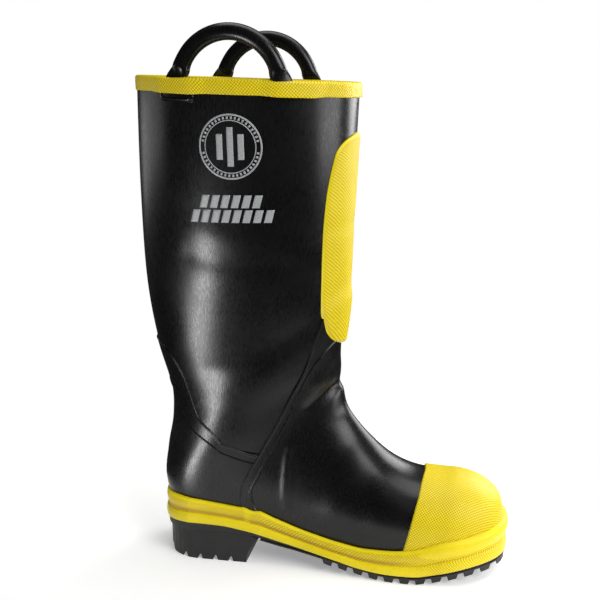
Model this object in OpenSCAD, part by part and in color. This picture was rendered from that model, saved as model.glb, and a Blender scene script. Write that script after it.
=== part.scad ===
// Pull-on rubber fire boot, right foot.
// +X points to the toe, -Y is the outer (lateral) side, +Z is up.
// The origin lies on the floor, below the middle of the boot.
//
// The upper is one smooth skin, worked out from a list of sections called stations.
// A place on it is [s, v]: s runs from the toe tip (0) round the instep to the collar,
// and v runs round a section: 0 front or top, 0.25 outer side, 0.5 back or sole, 0.75 inner side.
// Every layer, strap and cover of the upper is a patch of that skin, moved along its normal.

/* [Size] */
// Length of the boot, from the back of the heel to the toe bumper
boot_length = 302; // [260:1:365]
// Height of the collar above the floor
collar_height = 406; // [340:1:490]
// Width of the upper across the ball of the foot
ball_width = 92; // [80:1:110]
// Width of the leg at the collar
collar_width = 132; // [112:1:158]

/* [Upper] */
// Thickness of the rubber wall
wall = 2.6; // [2:0.1:3.2]
// Thickness of the felt lining
felt = 3.2; // [2:0.1:3.8]
// Thickness of the moulded rubber straps
strap_t = 1.8; // [1:0.1:2.5]
// Thickness of the textured covers on the toe and the shin
cover_t = 1.6; // [1:0.1:2.5]
// Thickness of the foam behind the shin
pad_t = 3; // [1.5:0.1:3.5]
// Height of the collar tape
tape_h = 10; // [7:0.5:14]

/* [Toe and sole] */
// Thickness of the steel toe cap
cap_t = 1.7; // [1.2:0.1:2]
// Depth of the tread lugs
lug_h = 5.5; // [4:0.5:7]
// Pitch of the forepart lugs
lug_pitch = 13.2; // [12:0.1:18]
// Number of lugs along the heel
heel_lugs = 5; // [4:1:6]
// Thickness of the foxing band
foxing_t = 3.8; // [3:0.1:4.5]
// Thickness of the bumper round the toe
bumper_t = 1.5; // [1:0.1:3]
// Thickness of the steel plate in the sole
plate_t = 1; // [0.6:0.1:1.2]
// Thickness of the insole board
board_t = 2.2; // [1.5:0.1:2.6]
// Thickness of the removable footbed
footbed_t = 5; // [3:0.5:6]

/* [Pull loops] */
// Diameter of a pull loop's rubber section
loop_d = 11.5; // [9:0.5:13]
// Radius of a pull loop, to the middle of its section
loop_r = 38.5; // [34:0.5:44]
// Height of a loop's bending line above the collar
loop_hinge_h = 8.4; // [7.5:0.1:11]

/* [Hidden] */

$fn = 48;

// Clearances
layer_gap = 0.35;    // between two layers that follow the skin
strap_gap = 0.6;     // between the skin and the straps moulded over it
seam_gap = 0.02;     // between two panels, in stations
joint_gap = 0.3;     // between a pull loop and what it bends against

// ---- Stations ----
// The sections are drawn for a boot of this size, and moved to the size asked for.
drawn_length = 302;
drawn_collar = 406;
drawn_ball = 92;
drawn_leg = 132;
ankle_z = 150;       // below this height the boot keeps its heights at any collar height
length_k = boot_length / drawn_length;
leg_k = (collar_height - ankle_z) / (drawn_collar - ankle_z);
foot_k = ball_width / drawn_ball;
shaft_k = collar_width / drawn_leg;

// The toe is half an oval, seen from above and from the side
toe_x = 240;         // where the toe starts to round off
toe_reach = 53.5;    // from there to the tip of the upper
toe_top = 80;
toe_mid = 36;
toe_floor = 13.5;
toe_half = 45;
toe_swing = 4;       // how far the tip leans to the inner side
toe_plan = 0.85;     // bluntness seen from above
function signed_pow(c, e) = sign(c) * pow(abs(c), e);
function toe_station(a) = let (c = cos(a), x = toe_x + toe_reach * sin(a)) [
    x, toe_mid + (toe_top - toe_mid) * signed_pow(c, 0.62),
    x, toe_mid - (toe_mid - toe_floor) * signed_pow(c, 0.45),
    toe_half * signed_pow(c, toe_plan), toe_swing * sin(a), 0.6, 2.2 + 0.2 * abs(sin(a)), 3.5 + 1.5 * abs(c)];

// front x, front z, back x, back z, half width, sideways shift,
// place of the widest point from front to back, squareness in front, squareness behind
body_stations = [
    [240, 80, 240, 13.5, 45, 0, 0.6, 2.2, 5],
    [219, 83, 214, 13, 46, -1, 0.6, 2.1, 5.5],
    [200, 92, 182, 13.5, 44.5, -1, 0.62, 2, 5.5],
    [184, 106, 143, 18, 40.5, -1, 0.64, 1.9, 5.5],
    [170, 121, 96, 26, 37, 0, 0.66, 1.85, 5],
    [159.5, 137, 44, 31, 37, 0, 0.66, 1.85, 5],
    [154.5, 156, 13, 36, 37.5, 0, 0.64, 1.85, 4],
    [153, 175, -2.5, 65, 39.5, 0, 0.62, 1.9, 2.6],
    [154, 194, -0.5, 94, 40.5, 0, 0.58, 1.95, 2.2],
    [156.5, 212, 5, 122, 41.5, 0, 0.56, 2, 2.1],
    [158.5, 232, 4.5, 152, 43.5, 0, 0.54, 2, 2.1],
    [160, 258, -5, 192, 49, 0, 0.52, 2.05, 2.1],
    [161.5, 295, -12, 248, 56, 0, 0.5, 2.1, 2.1],
    [164.5, 345, -13, 320, 62, 0, 0.5, 2.1, 2.1],
    [168, 403, -10.5, 409, 66, 0, 0.5, 2.1, 2.1],
    [171.5, 461, -8, 498, 70, 0, 0.5, 2.1, 2.1]];
drawn_stations = concat([for (a = [108:-18:18]) toe_station(a)], body_stations);

function tall(z) = z < ankle_z ? z : ankle_z + (z - ankle_z) * leg_k;
function wide(i) = foot_k + (shaft_k - foot_k) * min(1, max(0, (i - 12) / 6));
stations = [for (i = [0:len(drawn_stations) - 1]) let (q = drawn_stations[i])
    [q[0] * length_k, tall(q[1]), q[2] * length_k, tall(q[3]), q[4] * wide(i), q[5],
     q[6], q[7], q[8]]];
top_s = len(stations) - 3;    // station number of the collar

// ---- The skin ----
function spline(a, b, c, d, t) =
    (2 * b + (c - a) * t + (2 * a - 5 * b + 4 * c - d) * t * t + (3 * b - a - 3 * c + d) * t * t * t) / 2;
function station(s) = let (i = min(floor(max(0, s)), top_s - 1), t = min(top_s, max(0, s)) - i)
    spline(stations[i], stations[i + 1], stations[i + 2], stations[i + 3], t);
function skin(s, v) = let (
    q = station(s),
    c = cos(360 * v),
    w = sin(360 * v),
    n = c > 0 ? q[7] : q[8],
    r = pow(pow(abs(c), n) + pow(abs(w), n), -1 / n),
    k = q[6] - r * c * (c > 0 ? q[6] : 1 - q[6]))
    [q[0] + (q[2] - q[0]) * k, q[5] - q[4] * r * w, q[1] + (q[3] - q[1]) * k];
step_s = 0.04;
step_v = 0.002;
function normal(s, v) = s < step_s ? [1, 0, 0] : let (
    a = min(s, top_s - step_s),
    n = cross(skin(a + step_s, v) - skin(a - step_s, v), skin(a, v + step_v) - skin(a, v - step_v)))
    n / norm(n);
// A point d outside the skin, or inside it where d is negative
function place(s, v, d) = skin(s, v) + d * normal(s, v);
function fold(v) = let (f = abs(v) % 1) min(f, 1 - f);
function smooth(a, b, t) = let (k = min(1, max(0, (t - a) / (b - a)))) k * k * (3 - 2 * k);
function mix(a, b, t) = a + (b - a) * t;

// ---- Solids from grids of points ----
// A plate between two grids of points. loop closes it round v, and pole gathers its first row.
module slab(outside, inside, loop = false, pole = false) {
    rows = len(outside);
    cols = len(outside[0]);
    r0 = pole ? 1 : 0;
    side = cols * (rows - r0);
    last = loop ? cols - 1 : cols - 2;
    function at(face, i, j) = pole && i == 0 ? face : 2 * r0 + face * side + (i - r0) * cols + j % cols;
    function quad(a, b, c, d) =
        [for (t = [[a, b, c], [a, c, d]]) if (t[0] != t[1] && t[1] != t[2] && t[0] != t[2]) t];
    points = concat(
        pole ? [outside[0][0], inside[0][0]] : [],
        [for (i = [r0:rows - 1]) each outside[i]],
        [for (i = [r0:rows - 1]) each inside[i]]);
    faces = [
        for (i = [0:rows - 2], j = [0:last])
            each quad(at(0, i, j), at(0, i, j + 1), at(0, i + 1, j + 1), at(0, i + 1, j)),
        for (i = [0:rows - 2], j = [0:last])
            each quad(at(1, i, j), at(1, i + 1, j), at(1, i + 1, j + 1), at(1, i, j + 1)),
        if (!pole) for (j = [0:last])
            each quad(at(1, 0, j), at(1, 0, j + 1), at(0, 0, j + 1), at(0, 0, j)),
        for (j = [0:last])
            each quad(at(0, rows - 1, j), at(0, rows - 1, j + 1), at(1, rows - 1, j + 1), at(1, rows - 1, j)),
        if (!loop) for (i = [0:rows - 2])
            each quad(at(0, i, 0), at(0, i + 1, 0), at(1, i + 1, 0), at(1, i, 0)),
        if (!loop) for (i = [0:rows - 2])
            each quad(at(1, i, cols - 1), at(1, i + 1, cols - 1),
                      at(0, i + 1, cols - 1), at(0, i, cols - 1))];
    polyhedron(points, faces, convexity = 10);
}

// A closed outline carried along a path: ring[i] is the outline at step i
module sweep(ring, closed = true) {
    rows = len(ring);
    cols = len(ring[0]);
    last = closed ? rows - 1 : rows - 2;
    function at(i, j) = (i % rows) * cols + j % cols;
    faces = [
        for (i = [0:last], j = [0:cols - 1])
            each [[at(i, j), at(i, j + 1), at(i + 1, j + 1)], [at(i, j), at(i + 1, j + 1), at(i + 1, j)]],
        if (!closed) for (j = [1:cols - 2]) [at(0, 0), at(0, j + 1), at(0, j)],
        if (!closed) for (j = [1:cols - 2]) [at(rows - 1, 0), at(rows - 1, j), at(rows - 1, j + 1)]];
    polyhedron([for (p = ring) each p], faces, convexity = 10);
}

// A patch of the skin between the depths d0 and d1, from station from_s(v) to to_s(v):
// a tube right round the leg, or a panel from v0 to v1
module tube(from_s, to_s, rows, d0, d1) {
    turn = [for (j = [0:round_steps - 1]) j / round_steps];
    function grid(d) = [for (i = [0:rows])
        [for (v = turn) let (s = mix(from_s(v), to_s(v), i / rows)) place(s, v, d(s, v))]];
    slab(grid(d1), grid(d0), loop = true);
}
// Its first toe_rows rows, if any, stop at the same place as the steel cap's
module panel(v0, v1, cols, from_s, to_s, rows, d0, d1, pole = false, toe_rows = 0) {
    function row_s(v, i) = i < toe_rows ? mix(from_s(v), cap_s, i / toe_rows)
        : mix(toe_rows > 0 ? cap_s : from_s(v), to_s(v), (i - toe_rows) / (rows - toe_rows));
    function grid(d) = [for (i = [0:rows])
        [for (j = [0:cols]) let (v = mix(v0, v1, j / cols), s = row_s(v, i))
            place(s, v, d(s, v))]];
    slab(grid(d1), grid(d0), pole = pole);
}
round_steps = 40;
cap_s = 5.4;         // rear edge of the steel cap
cap_rows = 10;
v_step = 1 / round_steps;

// ---- Seams of the upper ----
// Each lists [v, s]; the straps lie over them
front_seam = [[0, 14], [0.07, 13.85], [0.1, 13.3], [0.12, 12.6], [0.14, 11.9], [0.16, 11.4],
    [0.2, 10.75], [0.24, 10.25], [0.3, 9.8], [0.36, 9.5], [0.43, 9.5]];
back_seam = [[0.2, 10.95], [0.24, 11.85], [0.28, 12.6], [0.32, 13.15], [0.35, 13.75], [0.37, 14.3],
    [0.39, 15], [0.43, 15.5], [0.5, 15.6]];
seat_edge = [[0.2, 10.75], [0.24, 10.25], [0.3, 9.8], [0.36, 9.5], [0.43, 9.6], [0.46, 10.1], [0.5, 10.3]];
cross_v = 0.2;       // where the two seams meet
margin_v = 0.425;    // how far the upper turns in under the foot

// ---- Depths below the skin ----
inner_d = -(wall + layer_gap);           // first layer inside the rubber
stiff_t = 1.9;                           // heel stiffener and vamp insulation
stiff_d = inner_d - stiff_t;
ankle_from = 12.6;                       // stations where the foot's layers end
ankle_to = 14.2;
foot_layers = max(stiff_t, cap_t) + layer_gap;
pad_v = 0.1;
pad_s = [14.7, 18];
function lining_d(s, v) = inner_d
    - foot_layers * (1 - smooth(ankle_from, ankle_to, s))
    - (pad_t + layer_gap) * (1 - smooth(pad_v + 0.01, pad_v + 0.07, fold(v)))
        * smooth(pad_s[0] - 0.6, pad_s[0] - 0.1, s) * (1 - smooth(pad_s[1] + 0.1, pad_s[1] + 0.6, s));

// ---- Plan of the sole ----
plan_gap = 0.5;                          // between the upper's tip and the plan
foxing_out = max(foxing_t, cover_t + 1.6);  // the strip stays thick enough to go over the toe cover
bumper_d = foxing_out + 0.3;             // how far out of the plan the bumper's back lies
heel_mid = 36;
heel_a = 34.5;
heel_b = 37;
heel_square = 2.3;
side_plan = [[60, 37], [90, 36.8], [120, 37.8], [160, 42.3], [200, 46.3], [222, 47]];
// Half the plan, from the heel to the toe tip, moved out by d
function half_plan(d) = concat(
    [for (a = [0:9:81]) let (r = pow(pow(cos(a), heel_square) + pow(sin(a), heel_square), -1 / heel_square))
        [heel_mid * length_k - (heel_a * length_k + d) * r * cos(a), (heel_b * foot_k + d) * r * sin(a)]],
    [for (p = side_plan) [p[0] * length_k, p[1] * foot_k + d]],
    [for (a = [0:9:90]) [(toe_x + toe_reach * sin(a)) * length_k + (d + plan_gap) * sin(a),
        (toe_half * foot_k + 0.8 + d) * pow(cos(a), toe_plan)]]);
shift_plan = [[96, 0], [143, -1], [222, -1], [240, 0], [toe_x + toe_reach, toe_swing]];
function shift(x) = lookup(x / length_k, shift_plan);
// The whole plan, anticlockwise from the heel, along the outer side first
function plan(d) = let (h = half_plan(d), n = len(h)) concat(
    [for (i = [0:n - 1]) [h[i][0], shift(h[i][0]) - h[i][1]]],
    [for (i = [n - 2:-1:1]) [h[i][0], shift(h[i][0]) + h[i][1]]]);

// Heights along the sole: where the tread starts, and the top of the foxing
tread_line = [[0, 25], [20, 28], [60, 29], [80, 27], [100, 22.5], [120, 19], [143, 15], [160, 12],
    [176, 9], [192, 6.3], [204, 5.5], [226, 5.5], [240, 8], [256, 11], [270, 13.3], [285, 14.5], [305, 14]];
foxing_line = [[-5, 51], [12, 54], [30, 54], [55, 52], [75, 49.5], [90, 46.5], [107, 38], [125, 32],
    [152, 27], [178, 22.5], [205, 22.5], [225, 26], [244, 34], [261, 37], [278, 40], [292, 43], [305, 40]];
function tread_z(x) = lookup(x / length_k, tread_line);
function foxing_z(x) = lookup(x / length_k, foxing_line);

// A ring round the sole: outline(x) lists [out, z] anticlockwise
module sole_ring(outline, from_x = -100) {
    n = len(plan(0));
    outer = [for (d = [0:6]) plan(d)];
    path = plan(0);
    steps = from_x < 0 ? [for (i = [0:n - 1]) i] : [for (i = [0:n - 1]) if (path[i][0] > from_x) i];
    function at(i, d) = let (k = min(5, max(0, floor(d)))) mix(outer[k][i], outer[k + 1][i], d - k);
    sweep([for (i = steps) [for (p = outline(path[i][0])) let (q = at(i, p[0])) [q[0], q[1], p[1]]]],
        closed = from_x < 0);
}

// Layers of the sole: a strip that follows the bottom of the skin, cut to the plan
module sole_layer(d, h0, h1, s0, s1) {
    line = [for (i = [0:24]) let (p = skin(mix(s0, s1, i / 24), 0.5)) [p[0], p[2]]];
    intersection() {
        rotate([90, 0, 0])
            linear_extrude(height = 200, center = true)
                polygon(concat([for (p = line) p + [0, h0]], [for (i = [24:-1:0]) line[i] + [0, h1]]));
        linear_extrude(height = 100)
            polygon(plan(d));
    }
}
fill_h = wall;
plate_h = fill_h + 0.3;
board_h = plate_h + plate_t + 0.1;
bed_h = board_h + board_t + 0.1;

// ---- Frame ----
// Everything is drawn from the back of the heel, and this is the middle of the boot's length
back_x = min([for (s = [15:0.1:top_s]) skin(s, 0.5)[0]]);
tip_x = (toe_x + toe_reach) * length_k + plan_gap + bumper_d + bumper_t;
mid_x = (back_x + tip_x) / 2;
module framed() {
    translate([-mid_x, 0, 0])
        children();
}
rubber = "#17181a";
yellow = "#f2d21a";
felt_grey = "#b9b4a6";
steel = "#9aa0a6";

// ---- The rubber upper ----
function leg_edge(v) = lookup(fold(v), fold(v) < cross_v - 0.001 ? front_seam : back_seam);

module leg_upper() {
    framed() color(rubber)
        tube(function(v) leg_edge(v) + seam_gap, function(v) top_s - 0.02, 18,
            function(s, v) -wall, function(s, v) 0);
}

module vamp_upper() {
    framed() color(rubber)
        panel(-margin_v, margin_v, 34, function(v) 0, function(v) lookup(fold(v), front_seam) - seam_gap, 22,
            function(s, v) -wall, function(s, v) 0, pole = true, toe_rows = cap_rows);
}

counter_rows = 17;
counter_low = function(v) lookup(fold(v), seat_edge) + seam_gap;
counter_high = function(v) lookup(fold(v), back_seam) - seam_gap;
module heel_counter() {
    framed() color(rubber)
        panel(cross_v, 1 - cross_v, 24, counter_low, counter_high, counter_rows,
            function(s, v) -wall, function(s, v) 0);
}

// ---- Moulded straps over the seams ----
// Pairs of edge points [s, v]: the rear and the front edge of the side strap
side_rear = [[14.9, 0.1], [14.2, 0.114], [13.6, 0.118], [12.85, 0.126], [12.1, 0.147], [11.55, 0.167],
    [10.95, 0.211], [10.4, 0.25], [9.95, 0.3], [9.83, 0.314]];
side_front = [[13.4, 0.01], [13.25, 0.045], [12.95, 0.09], [12.4, 0.115], [11.7, 0.132], [11.15, 0.16],
    [10.6, 0.199], [10.15, 0.234], [9.75, 0.283], [9.51, 0.311]];
// The upper and the lower edge of the back strap, from its crossing to the back
back_high = [[11, 0.206], [11.95, 0.237], [12.75, 0.279], [13.4, 0.319], [14.1, 0.3485], [14.75, 0.363],
    [15.6, 0.384], [16.05, 0.42], [16.05, 0.5]];
back_low = [[10.75, 0.216], [11.6, 0.238], [12.35, 0.278], [12.9, 0.32], [13.4, 0.35], [13.9, 0.375],
    [14.5, 0.403], [15, 0.435], [15.2, 0.5]];

// A strip between two lists of edge points, lying on the skin
module strip(edge_a, edge_b, d0, d1, mirrored = false) {
    n = len(edge_a) - 1;
    steps = 3 * n;
    function along(e, t) = let (i = min(floor(t), n - 1))
        spline(e[max(0, i - 1)], e[i], e[i + 1], e[min(n, i + 2)], t - i);
    function grid(d) = [for (k = [0:steps])
        let (a = along(edge_a, k * n / steps), b = along(edge_b, k * n / steps))
        [for (j = [0:3]) let (p = mix(a, b, j / 3)) place(p[0], mirrored ? 1 - p[1] : p[1], d)]];
    if (mirrored) slab(grid(d1), grid(d0));
    else slab(grid(d0), grid(d1));
}

module side_strap_outer() {
    framed() color(rubber) strip(side_front, side_rear, strap_gap, strap_gap + strap_t);
}

module side_strap_inner() {
    framed() color(rubber) strip(side_front, side_rear, strap_gap, strap_gap + strap_t, mirrored = true);
}

// The back strap starts beside the outer side strap and ends beside the inner one
module back_strap() {
    first = 0.6;
    function cut(e) = concat([mix(e[0], e[1], first)], [for (i = [1:len(e) - 1]) e[i]]);
    function there(e) = [for (i = [len(e) - 2:-1:0]) [e[i][0], 1 - e[i][1]]];
    high = cut(back_high);
    low = cut(back_low);
    framed() color(rubber)
        strip(concat(low, there(low)), concat(high, there(high)), strap_gap, strap_gap + strap_t);
}

// ---- Collar ----
// A point beside the collar: v round it, d outside the skin, h above the rim
function rim(v, d, h) = place(top_s, v, d) + [0, 0, h];
anchor_v = [0.158, 0.325];               // middle of a loop's front and rear foot
anchor_w = 0.032;                        // half its width, round the collar
anchor_t = 1.8;
anchor_h = [9, 17];                       // below the rim: the front one ends under the tape
function over_anchor(v) = max([for (a = anchor_v)
    1 - smooth(anchor_w + 0.004, anchor_w + 0.022, abs(fold(v) - a))]);

module collar_tape() {
    outline = function(v) let (d = layer_gap + over_anchor(v) * (anchor_t + 0.2))
        [[d, -tape_h], [d + 1.6, -tape_h + 0.6], [d + 1.9, -tape_h / 2], [d + 1.6, 0.3], [d + 0.6, 1.5],
         [-wall - felt, 1.6], [-wall - felt - 0.4, 0.4], [d, 0.3]];
    turns = [for (k = [96:-1:1]) k / 96];
    framed() color(yellow)
        sweep([for (v = turns) [for (p = outline(v)) rim(v, p[0], p[1])]]);
}

module lining_binding() {
    out = -wall - felt - 0.9 - layer_gap;
    turns = [for (k = [round_steps:-1:1]) k / round_steps];
    framed() color("#2b2a28")
        sweep([for (v = turns) [for (p = [[out - 1.3, -9], [out, -9], [out, 0.2], [out - 1.3, 0.2]])
            rim(v, p[0], p[1])]]);
}

module loop_anchor(mirrored) {
    function grid(foot, d) = [for (h = [-anchor_h[foot], -anchor_h[foot] + 2, -2, -0.4])
        [for (j = [-3:3]) let (v = anchor_v[foot] + anchor_w * j / 3) rim(mirrored ? 1 - v : v, d, h)]];
    for (foot = [0, 1])
        if (mirrored) slab(grid(foot, layer_gap), grid(foot, layer_gap + anchor_t));
        else slab(grid(foot, layer_gap + anchor_t), grid(foot, layer_gap));
}
module loop_anchor_outer() {
    framed() color(rubber) loop_anchor(false);
}
module loop_anchor_inner() {
    framed() color(rubber) loop_anchor(true);
}

// ---- Pull loops ----
// Each is an arch that bends in and out about a line just above the collar
rim_front = skin(top_s, 0);
rim_back = skin(top_s, 0.5);
loop_x = (rim_front[0] + rim_back[0]) / 2 + 1;
rim_tilt = atan2(rim_back[2] - rim_front[2], rim_front[0] - rim_back[0]);
loop_z = mix(rim_back[2], rim_front[2], (loop_x - rim_back[0]) / (rim_front[0] - rim_back[0])) + loop_hinge_h;
loop_y = collar_width / 2 - 5.5;
loop_drop = 12.9;                        // from the bending line down to the arch's centre
loop_from = asin(loop_drop / loop_r);    // where the arch starts
module pull_loop(side) {
    translate([loop_x, side * loop_y, loop_z])
        rotate([0, rim_tilt, 0]) {
            translate([0, 0, -loop_drop])
                rotate([90, 0, 0])
                    rotate([0, 0, loop_from])
                        rotate_extrude(angle = 180 - 2 * loop_from)
                            translate([loop_r, 0])
                                circle(d = loop_d);
            for (end = [-1, 1])
                translate([end * loop_r * cos(loop_from), 0, 0])
                    rotate([0, 90, 0])
                        cylinder(d = loop_d, h = loop_d + 1.5, center = true);
        }
}
module pull_loop_outer() {
    framed() color(rubber) pull_loop(-1);
}
module pull_loop_inner() {
    framed() color(rubber) pull_loop(1);
}

// ---- Covers and pads ----
// Half width of the shin guard in v, along its length in stations
guard_edge = [[13.05, 0.01], [13.4, 0.045], [14, 0.077], [14.6, 0.096], [15.1, 0.105], [16.3, 0.105],
    [17, 0.104], [17.6, 0.099], [18.05, 0.087], [18.2, 0.077], [18.3, 0.055], [18.36, 0.02]];
module shin_guard() {
    over_strap = function(s) strap_t * (1 - smooth(15, 15.6, s));
    function grid(lift) = [for (e = guard_edge)
        [for (j = [-4:4]) place(e[0], e[1] * j / 4, strap_gap + layer_gap + over_strap(e[0]) + lift)]];
    framed() color(yellow) slab(grid(cover_t), grid(0));
}

module shin_foam() {
    framed() color("#5c5f63")
        panel(-pad_v, pad_v, 8, function(v) pad_s[0], function(v) pad_s[1], 10,
            function(s, v) inner_d - pad_t, function(s, v) inner_d);
}

toe_line = [[0, 6.02], [0.12, 6.07], [0.25, 6.17], [0.35, 6.21]];
module toe_cover() {
    framed() color(yellow)
        panel(-0.325, 0.325, 26, function(v) 0, function(v) lookup(fold(v), toe_line), 10,
            function(s, v) layer_gap, function(s, v) layer_gap + cover_t, pole = true);
}

cap_v = 0.35;
module steel_toe_cap() {
    framed() color(steel)
        panel(-cap_v, cap_v, 28, function(v) 0, function(v) cap_s, cap_rows,
            function(s, v) inner_d - cap_t, function(s, v) inner_d, pole = true);
}

module toe_cap_strip() {
    framed() color("#303236")
        panel(-cap_v, cap_v, 28, function(v) cap_s + seam_gap, function(v) cap_s + 0.35, 1,
            function(s, v) stiff_d + 0.15, function(s, v) inner_d);
}

module vamp_insulation() {
    framed() color("#6f6a5c")
        panel(-cap_v, cap_v, 28, function(v) cap_s + 0.4,
            function(v) min(12.3, lookup(fold(v), front_seam) - 0.15), 12,
            function(s, v) stiff_d, function(s, v) inner_d);
}

// The stiffener keeps to the heel counter's own rows
stiff_rows = [3, 7];
function counter_row(v, i) = mix(counter_low(v), counter_high(v), i / counter_rows);
module heel_stiffener() {
    framed() color("#3a3c40")
        panel(0.25, 0.75, 20,
            function(v) counter_row(v, stiff_rows[0]), function(v) counter_row(v, stiff_rows[1]),
            stiff_rows[1] - stiff_rows[0], function(s, v) stiff_d + 0.3, function(s, v) inner_d);
}

// ---- Felt lining ----
lining_v = 0.325;
lining_split = 9.55;                     // between the vamp's lining and the heel's
lining_top = 12.55;                      // between the heel's lining and the leg's
lining_seat = [[0, lining_split], [lining_v, lining_split], [0.36, 9.9], [0.4, 10.8],
               [0.45, 11.05], [0.5, 11.1]];
module vamp_lining() {
    framed() color(felt_grey)
        panel(-lining_v, lining_v, 26, function(v) 0, function(v) lining_split - seam_gap, 14,
            function(s, v) lining_d(s, v) - felt, function(s, v) lining_d(s, v), pole = true);
}

module heel_lining() {
    framed() color(felt_grey)
        tube(function(v) lookup(fold(v), lining_seat) + seam_gap, function(v) lining_top - seam_gap, 12,
            function(s, v) lining_d(s, v) - felt, function(s, v) lining_d(s, v));
}

module leg_lining() {
    framed() color(felt_grey)
        tube(function(v) lining_top + seam_gap, function(v) top_s - 0.02, 16,
            function(s, v) lining_d(s, v) - felt, function(s, v) lining_d(s, v));
}

// ---- Foxing and bumper ----
bead_share = 0.38;                       // of the foxing's height
bead_from = 0.2;                         // above the tread's sheet
function bead_z(x) = mix(tread_z(x), foxing_z(x), bead_share);
// The foxing stands away from the upper, and at the toe from its cover
function foxing_in(x) = 0.4 + cover_t * 0.95 * smooth(184, 206, x / length_k);
module foxing_band() {
    framed() color(yellow)
        sole_ring(function(x) let (z0 = bead_z(x), z1 = foxing_z(x), in = foxing_in(x))
            [[in, z0], [foxing_out - 0.4, z0], [foxing_out, mix(z0, z1, 0.35)],
             [foxing_out - 0.2, mix(z0, z1, 0.75)], [max(foxing_out - 1.4, in + 0.4), z1], [in, z1]]);
}

module foxing_bead() {
    framed() color(yellow)
        sole_ring(function(x) let (z0 = tread_z(x) + bead_from, z1 = bead_z(x) - 0.2, in = foxing_in(x))
            [[in, z0], [foxing_out, z0], [foxing_out + 0.7, z0 + 0.8], [foxing_out + 0.3, z1 - 0.6],
             [foxing_out - 0.5, z1], [in, z1]]);
}

bumper_x = 216;
module toe_bumper() {
    framed() color(yellow)
        sole_ring(function(x) let (
                k = smooth(bumper_x - 6, bumper_x + 26, x / length_k),
                t = mix(0.3, bumper_t, k),
                z0 = bead_z(x) + 1.5,
                z1 = foxing_z(x) - 1)
            [[bumper_d, z0], [bumper_d + t * 0.8, z0 + 0.6], [bumper_d + t, mix(z0, z1, 0.45)],
             [bumper_d + t * 0.7, z1 - 0.8], [bumper_d, z1]],
            from_x = bumper_x * length_k);
}

// ---- Outsole ----
sole_gap = 0.3;
sheet_t = 1.6;                           // rubber between the tread's lugs, below the foxing
lug_flat = 9;                            // length of a lug along the sole, at its foot
lug_slope = 1.2;
first_lug = 145;
last_lug = 300;
lug_count = 1 + floor(((last_lug - first_lug) * length_k - lug_flat) / lug_pitch);
// Points [x, z] of the tread from the waist to the toe
function tread_points() = [for (k = [0:lug_count - 1]) let (x = first_lug * length_k + k * lug_pitch)
    each [[x, tread_z(x) - sheet_t], [x + lug_slope, max(0, tread_z(x) - lug_h)],
        [x + lug_flat - lug_slope, max(0, tread_z(x + lug_flat) - lug_h)],
        [x + lug_flat, tread_z(x + lug_flat) - sheet_t]]];
module side_cut(points) {
    rotate([90, 0, 0])
        linear_extrude(height = 200, center = true)
            polygon(points);
}
module outsole() {
    tread = tread_points();
    end_x = tip_x;
    waist_x = 90 * length_k;
    below = concat([for (x = [waist_x, 105 * length_k, 125 * length_k]) [x, tread_z(x) - sheet_t]], tread,
        [[end_x, tread_z(end_x) - sheet_t]]);
    above = [for (i = [0:24]) let (p = skin(mix(1, 10.6, i / 24), 0.5))
        [i == 0 ? end_x : p[0], p[2] - sole_gap]];
    seat_x = [above[24][0] + 4, 60 * length_k, 80 * length_k, waist_x - 2];
    framed() color(rubber) {
        intersection() {
            side_cut(concat(above, [for (x = seat_x) [x, tread_z(x) - 0.2]], below));
            linear_extrude(height = 60) polygon(plan(-0.4));
        }
        intersection() {
            side_cut(concat([for (i = [0:24]) let (x = mix(end_x, waist_x, i / 24)) [x, tread_z(x) - 0.2]],
                below));
            linear_extrude(height = 60) polygon(plan(foxing_out - 0.4));
        }
    }
}

heel_length = 76.5;
breast_lean = 11;
heel_roll = 7;                           // from the back of the heel to its first lug
module heel_block() {
    pitch = (heel_length - heel_roll) * length_k / heel_lugs;
    gap = 4.6;
    depth = 4.5;
    breast = [for (t = [0:0.2:1]) [(heel_length + breast_lean * t * t) * length_k, t * 23.5]];
    bottom = [for (k = [heel_lugs - 1:-1:1]) let (x = heel_roll * length_k + k * pitch)
        each [[x + gap / 2, 0], [x + gap / 5, depth], [x - gap / 5, depth], [x - gap / 2, 0]]];
    roll = [[heel_roll * length_k, 0], [(heel_roll - 1) * length_k, depth]];
    top = [for (x = [0, 20, 60, 80]) [x * length_k, tread_z(x * length_k) - 0.3]];
    framed() color(rubber)
        intersection() {
            side_cut(concat([[-10, depth], [-10, tread_z(0) - 0.3]], top, [for (i = [5:-1:0]) breast[i]],
                bottom, roll));
            linear_extrude(height = 60) polygon(plan(1.2));
        }
}

// ---- Inside the sole ----
shank_from = 50;
shank_to = 165;
shank_w = 24;
shank_t = 1.4;
shank_slots = 5;
module shank_strip(grow) {
    line = [for (x = [shank_from - grow:(shank_to - shank_from + 2 * grow) / 8:shank_to + grow + 0.01])
        let (z = lookup(x, [for (i = [20:-1:0]) let (p = skin(mix(7, 11, i / 20), 0.5))
            [p[0] / length_k, p[2]]]))
        [x * length_k, z + (fill_h - shank_t) / 2]];
    side_cut(concat([for (p = line) p + [0, -grow]], [for (i = [8:-1:0]) line[i] + [0, shank_t + grow]]));
}
module ladder_shank() {
    pitch = (shank_to - shank_from) * length_k / shank_slots;
    framed() color(steel)
        difference() {
            intersection() {
                shank_strip(0);
                translate([0, -shank_w / 2, 0]) cube([400, shank_w, 100]);
            }
            for (k = [0:shank_slots - 1])
                translate([shank_from * length_k + (k + 0.5) * pitch - pitch * 0.3, -shank_w / 2 + 5, 0])
                    cube([pitch * 0.6, shank_w - 10, 100]);
        }
}

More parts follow.
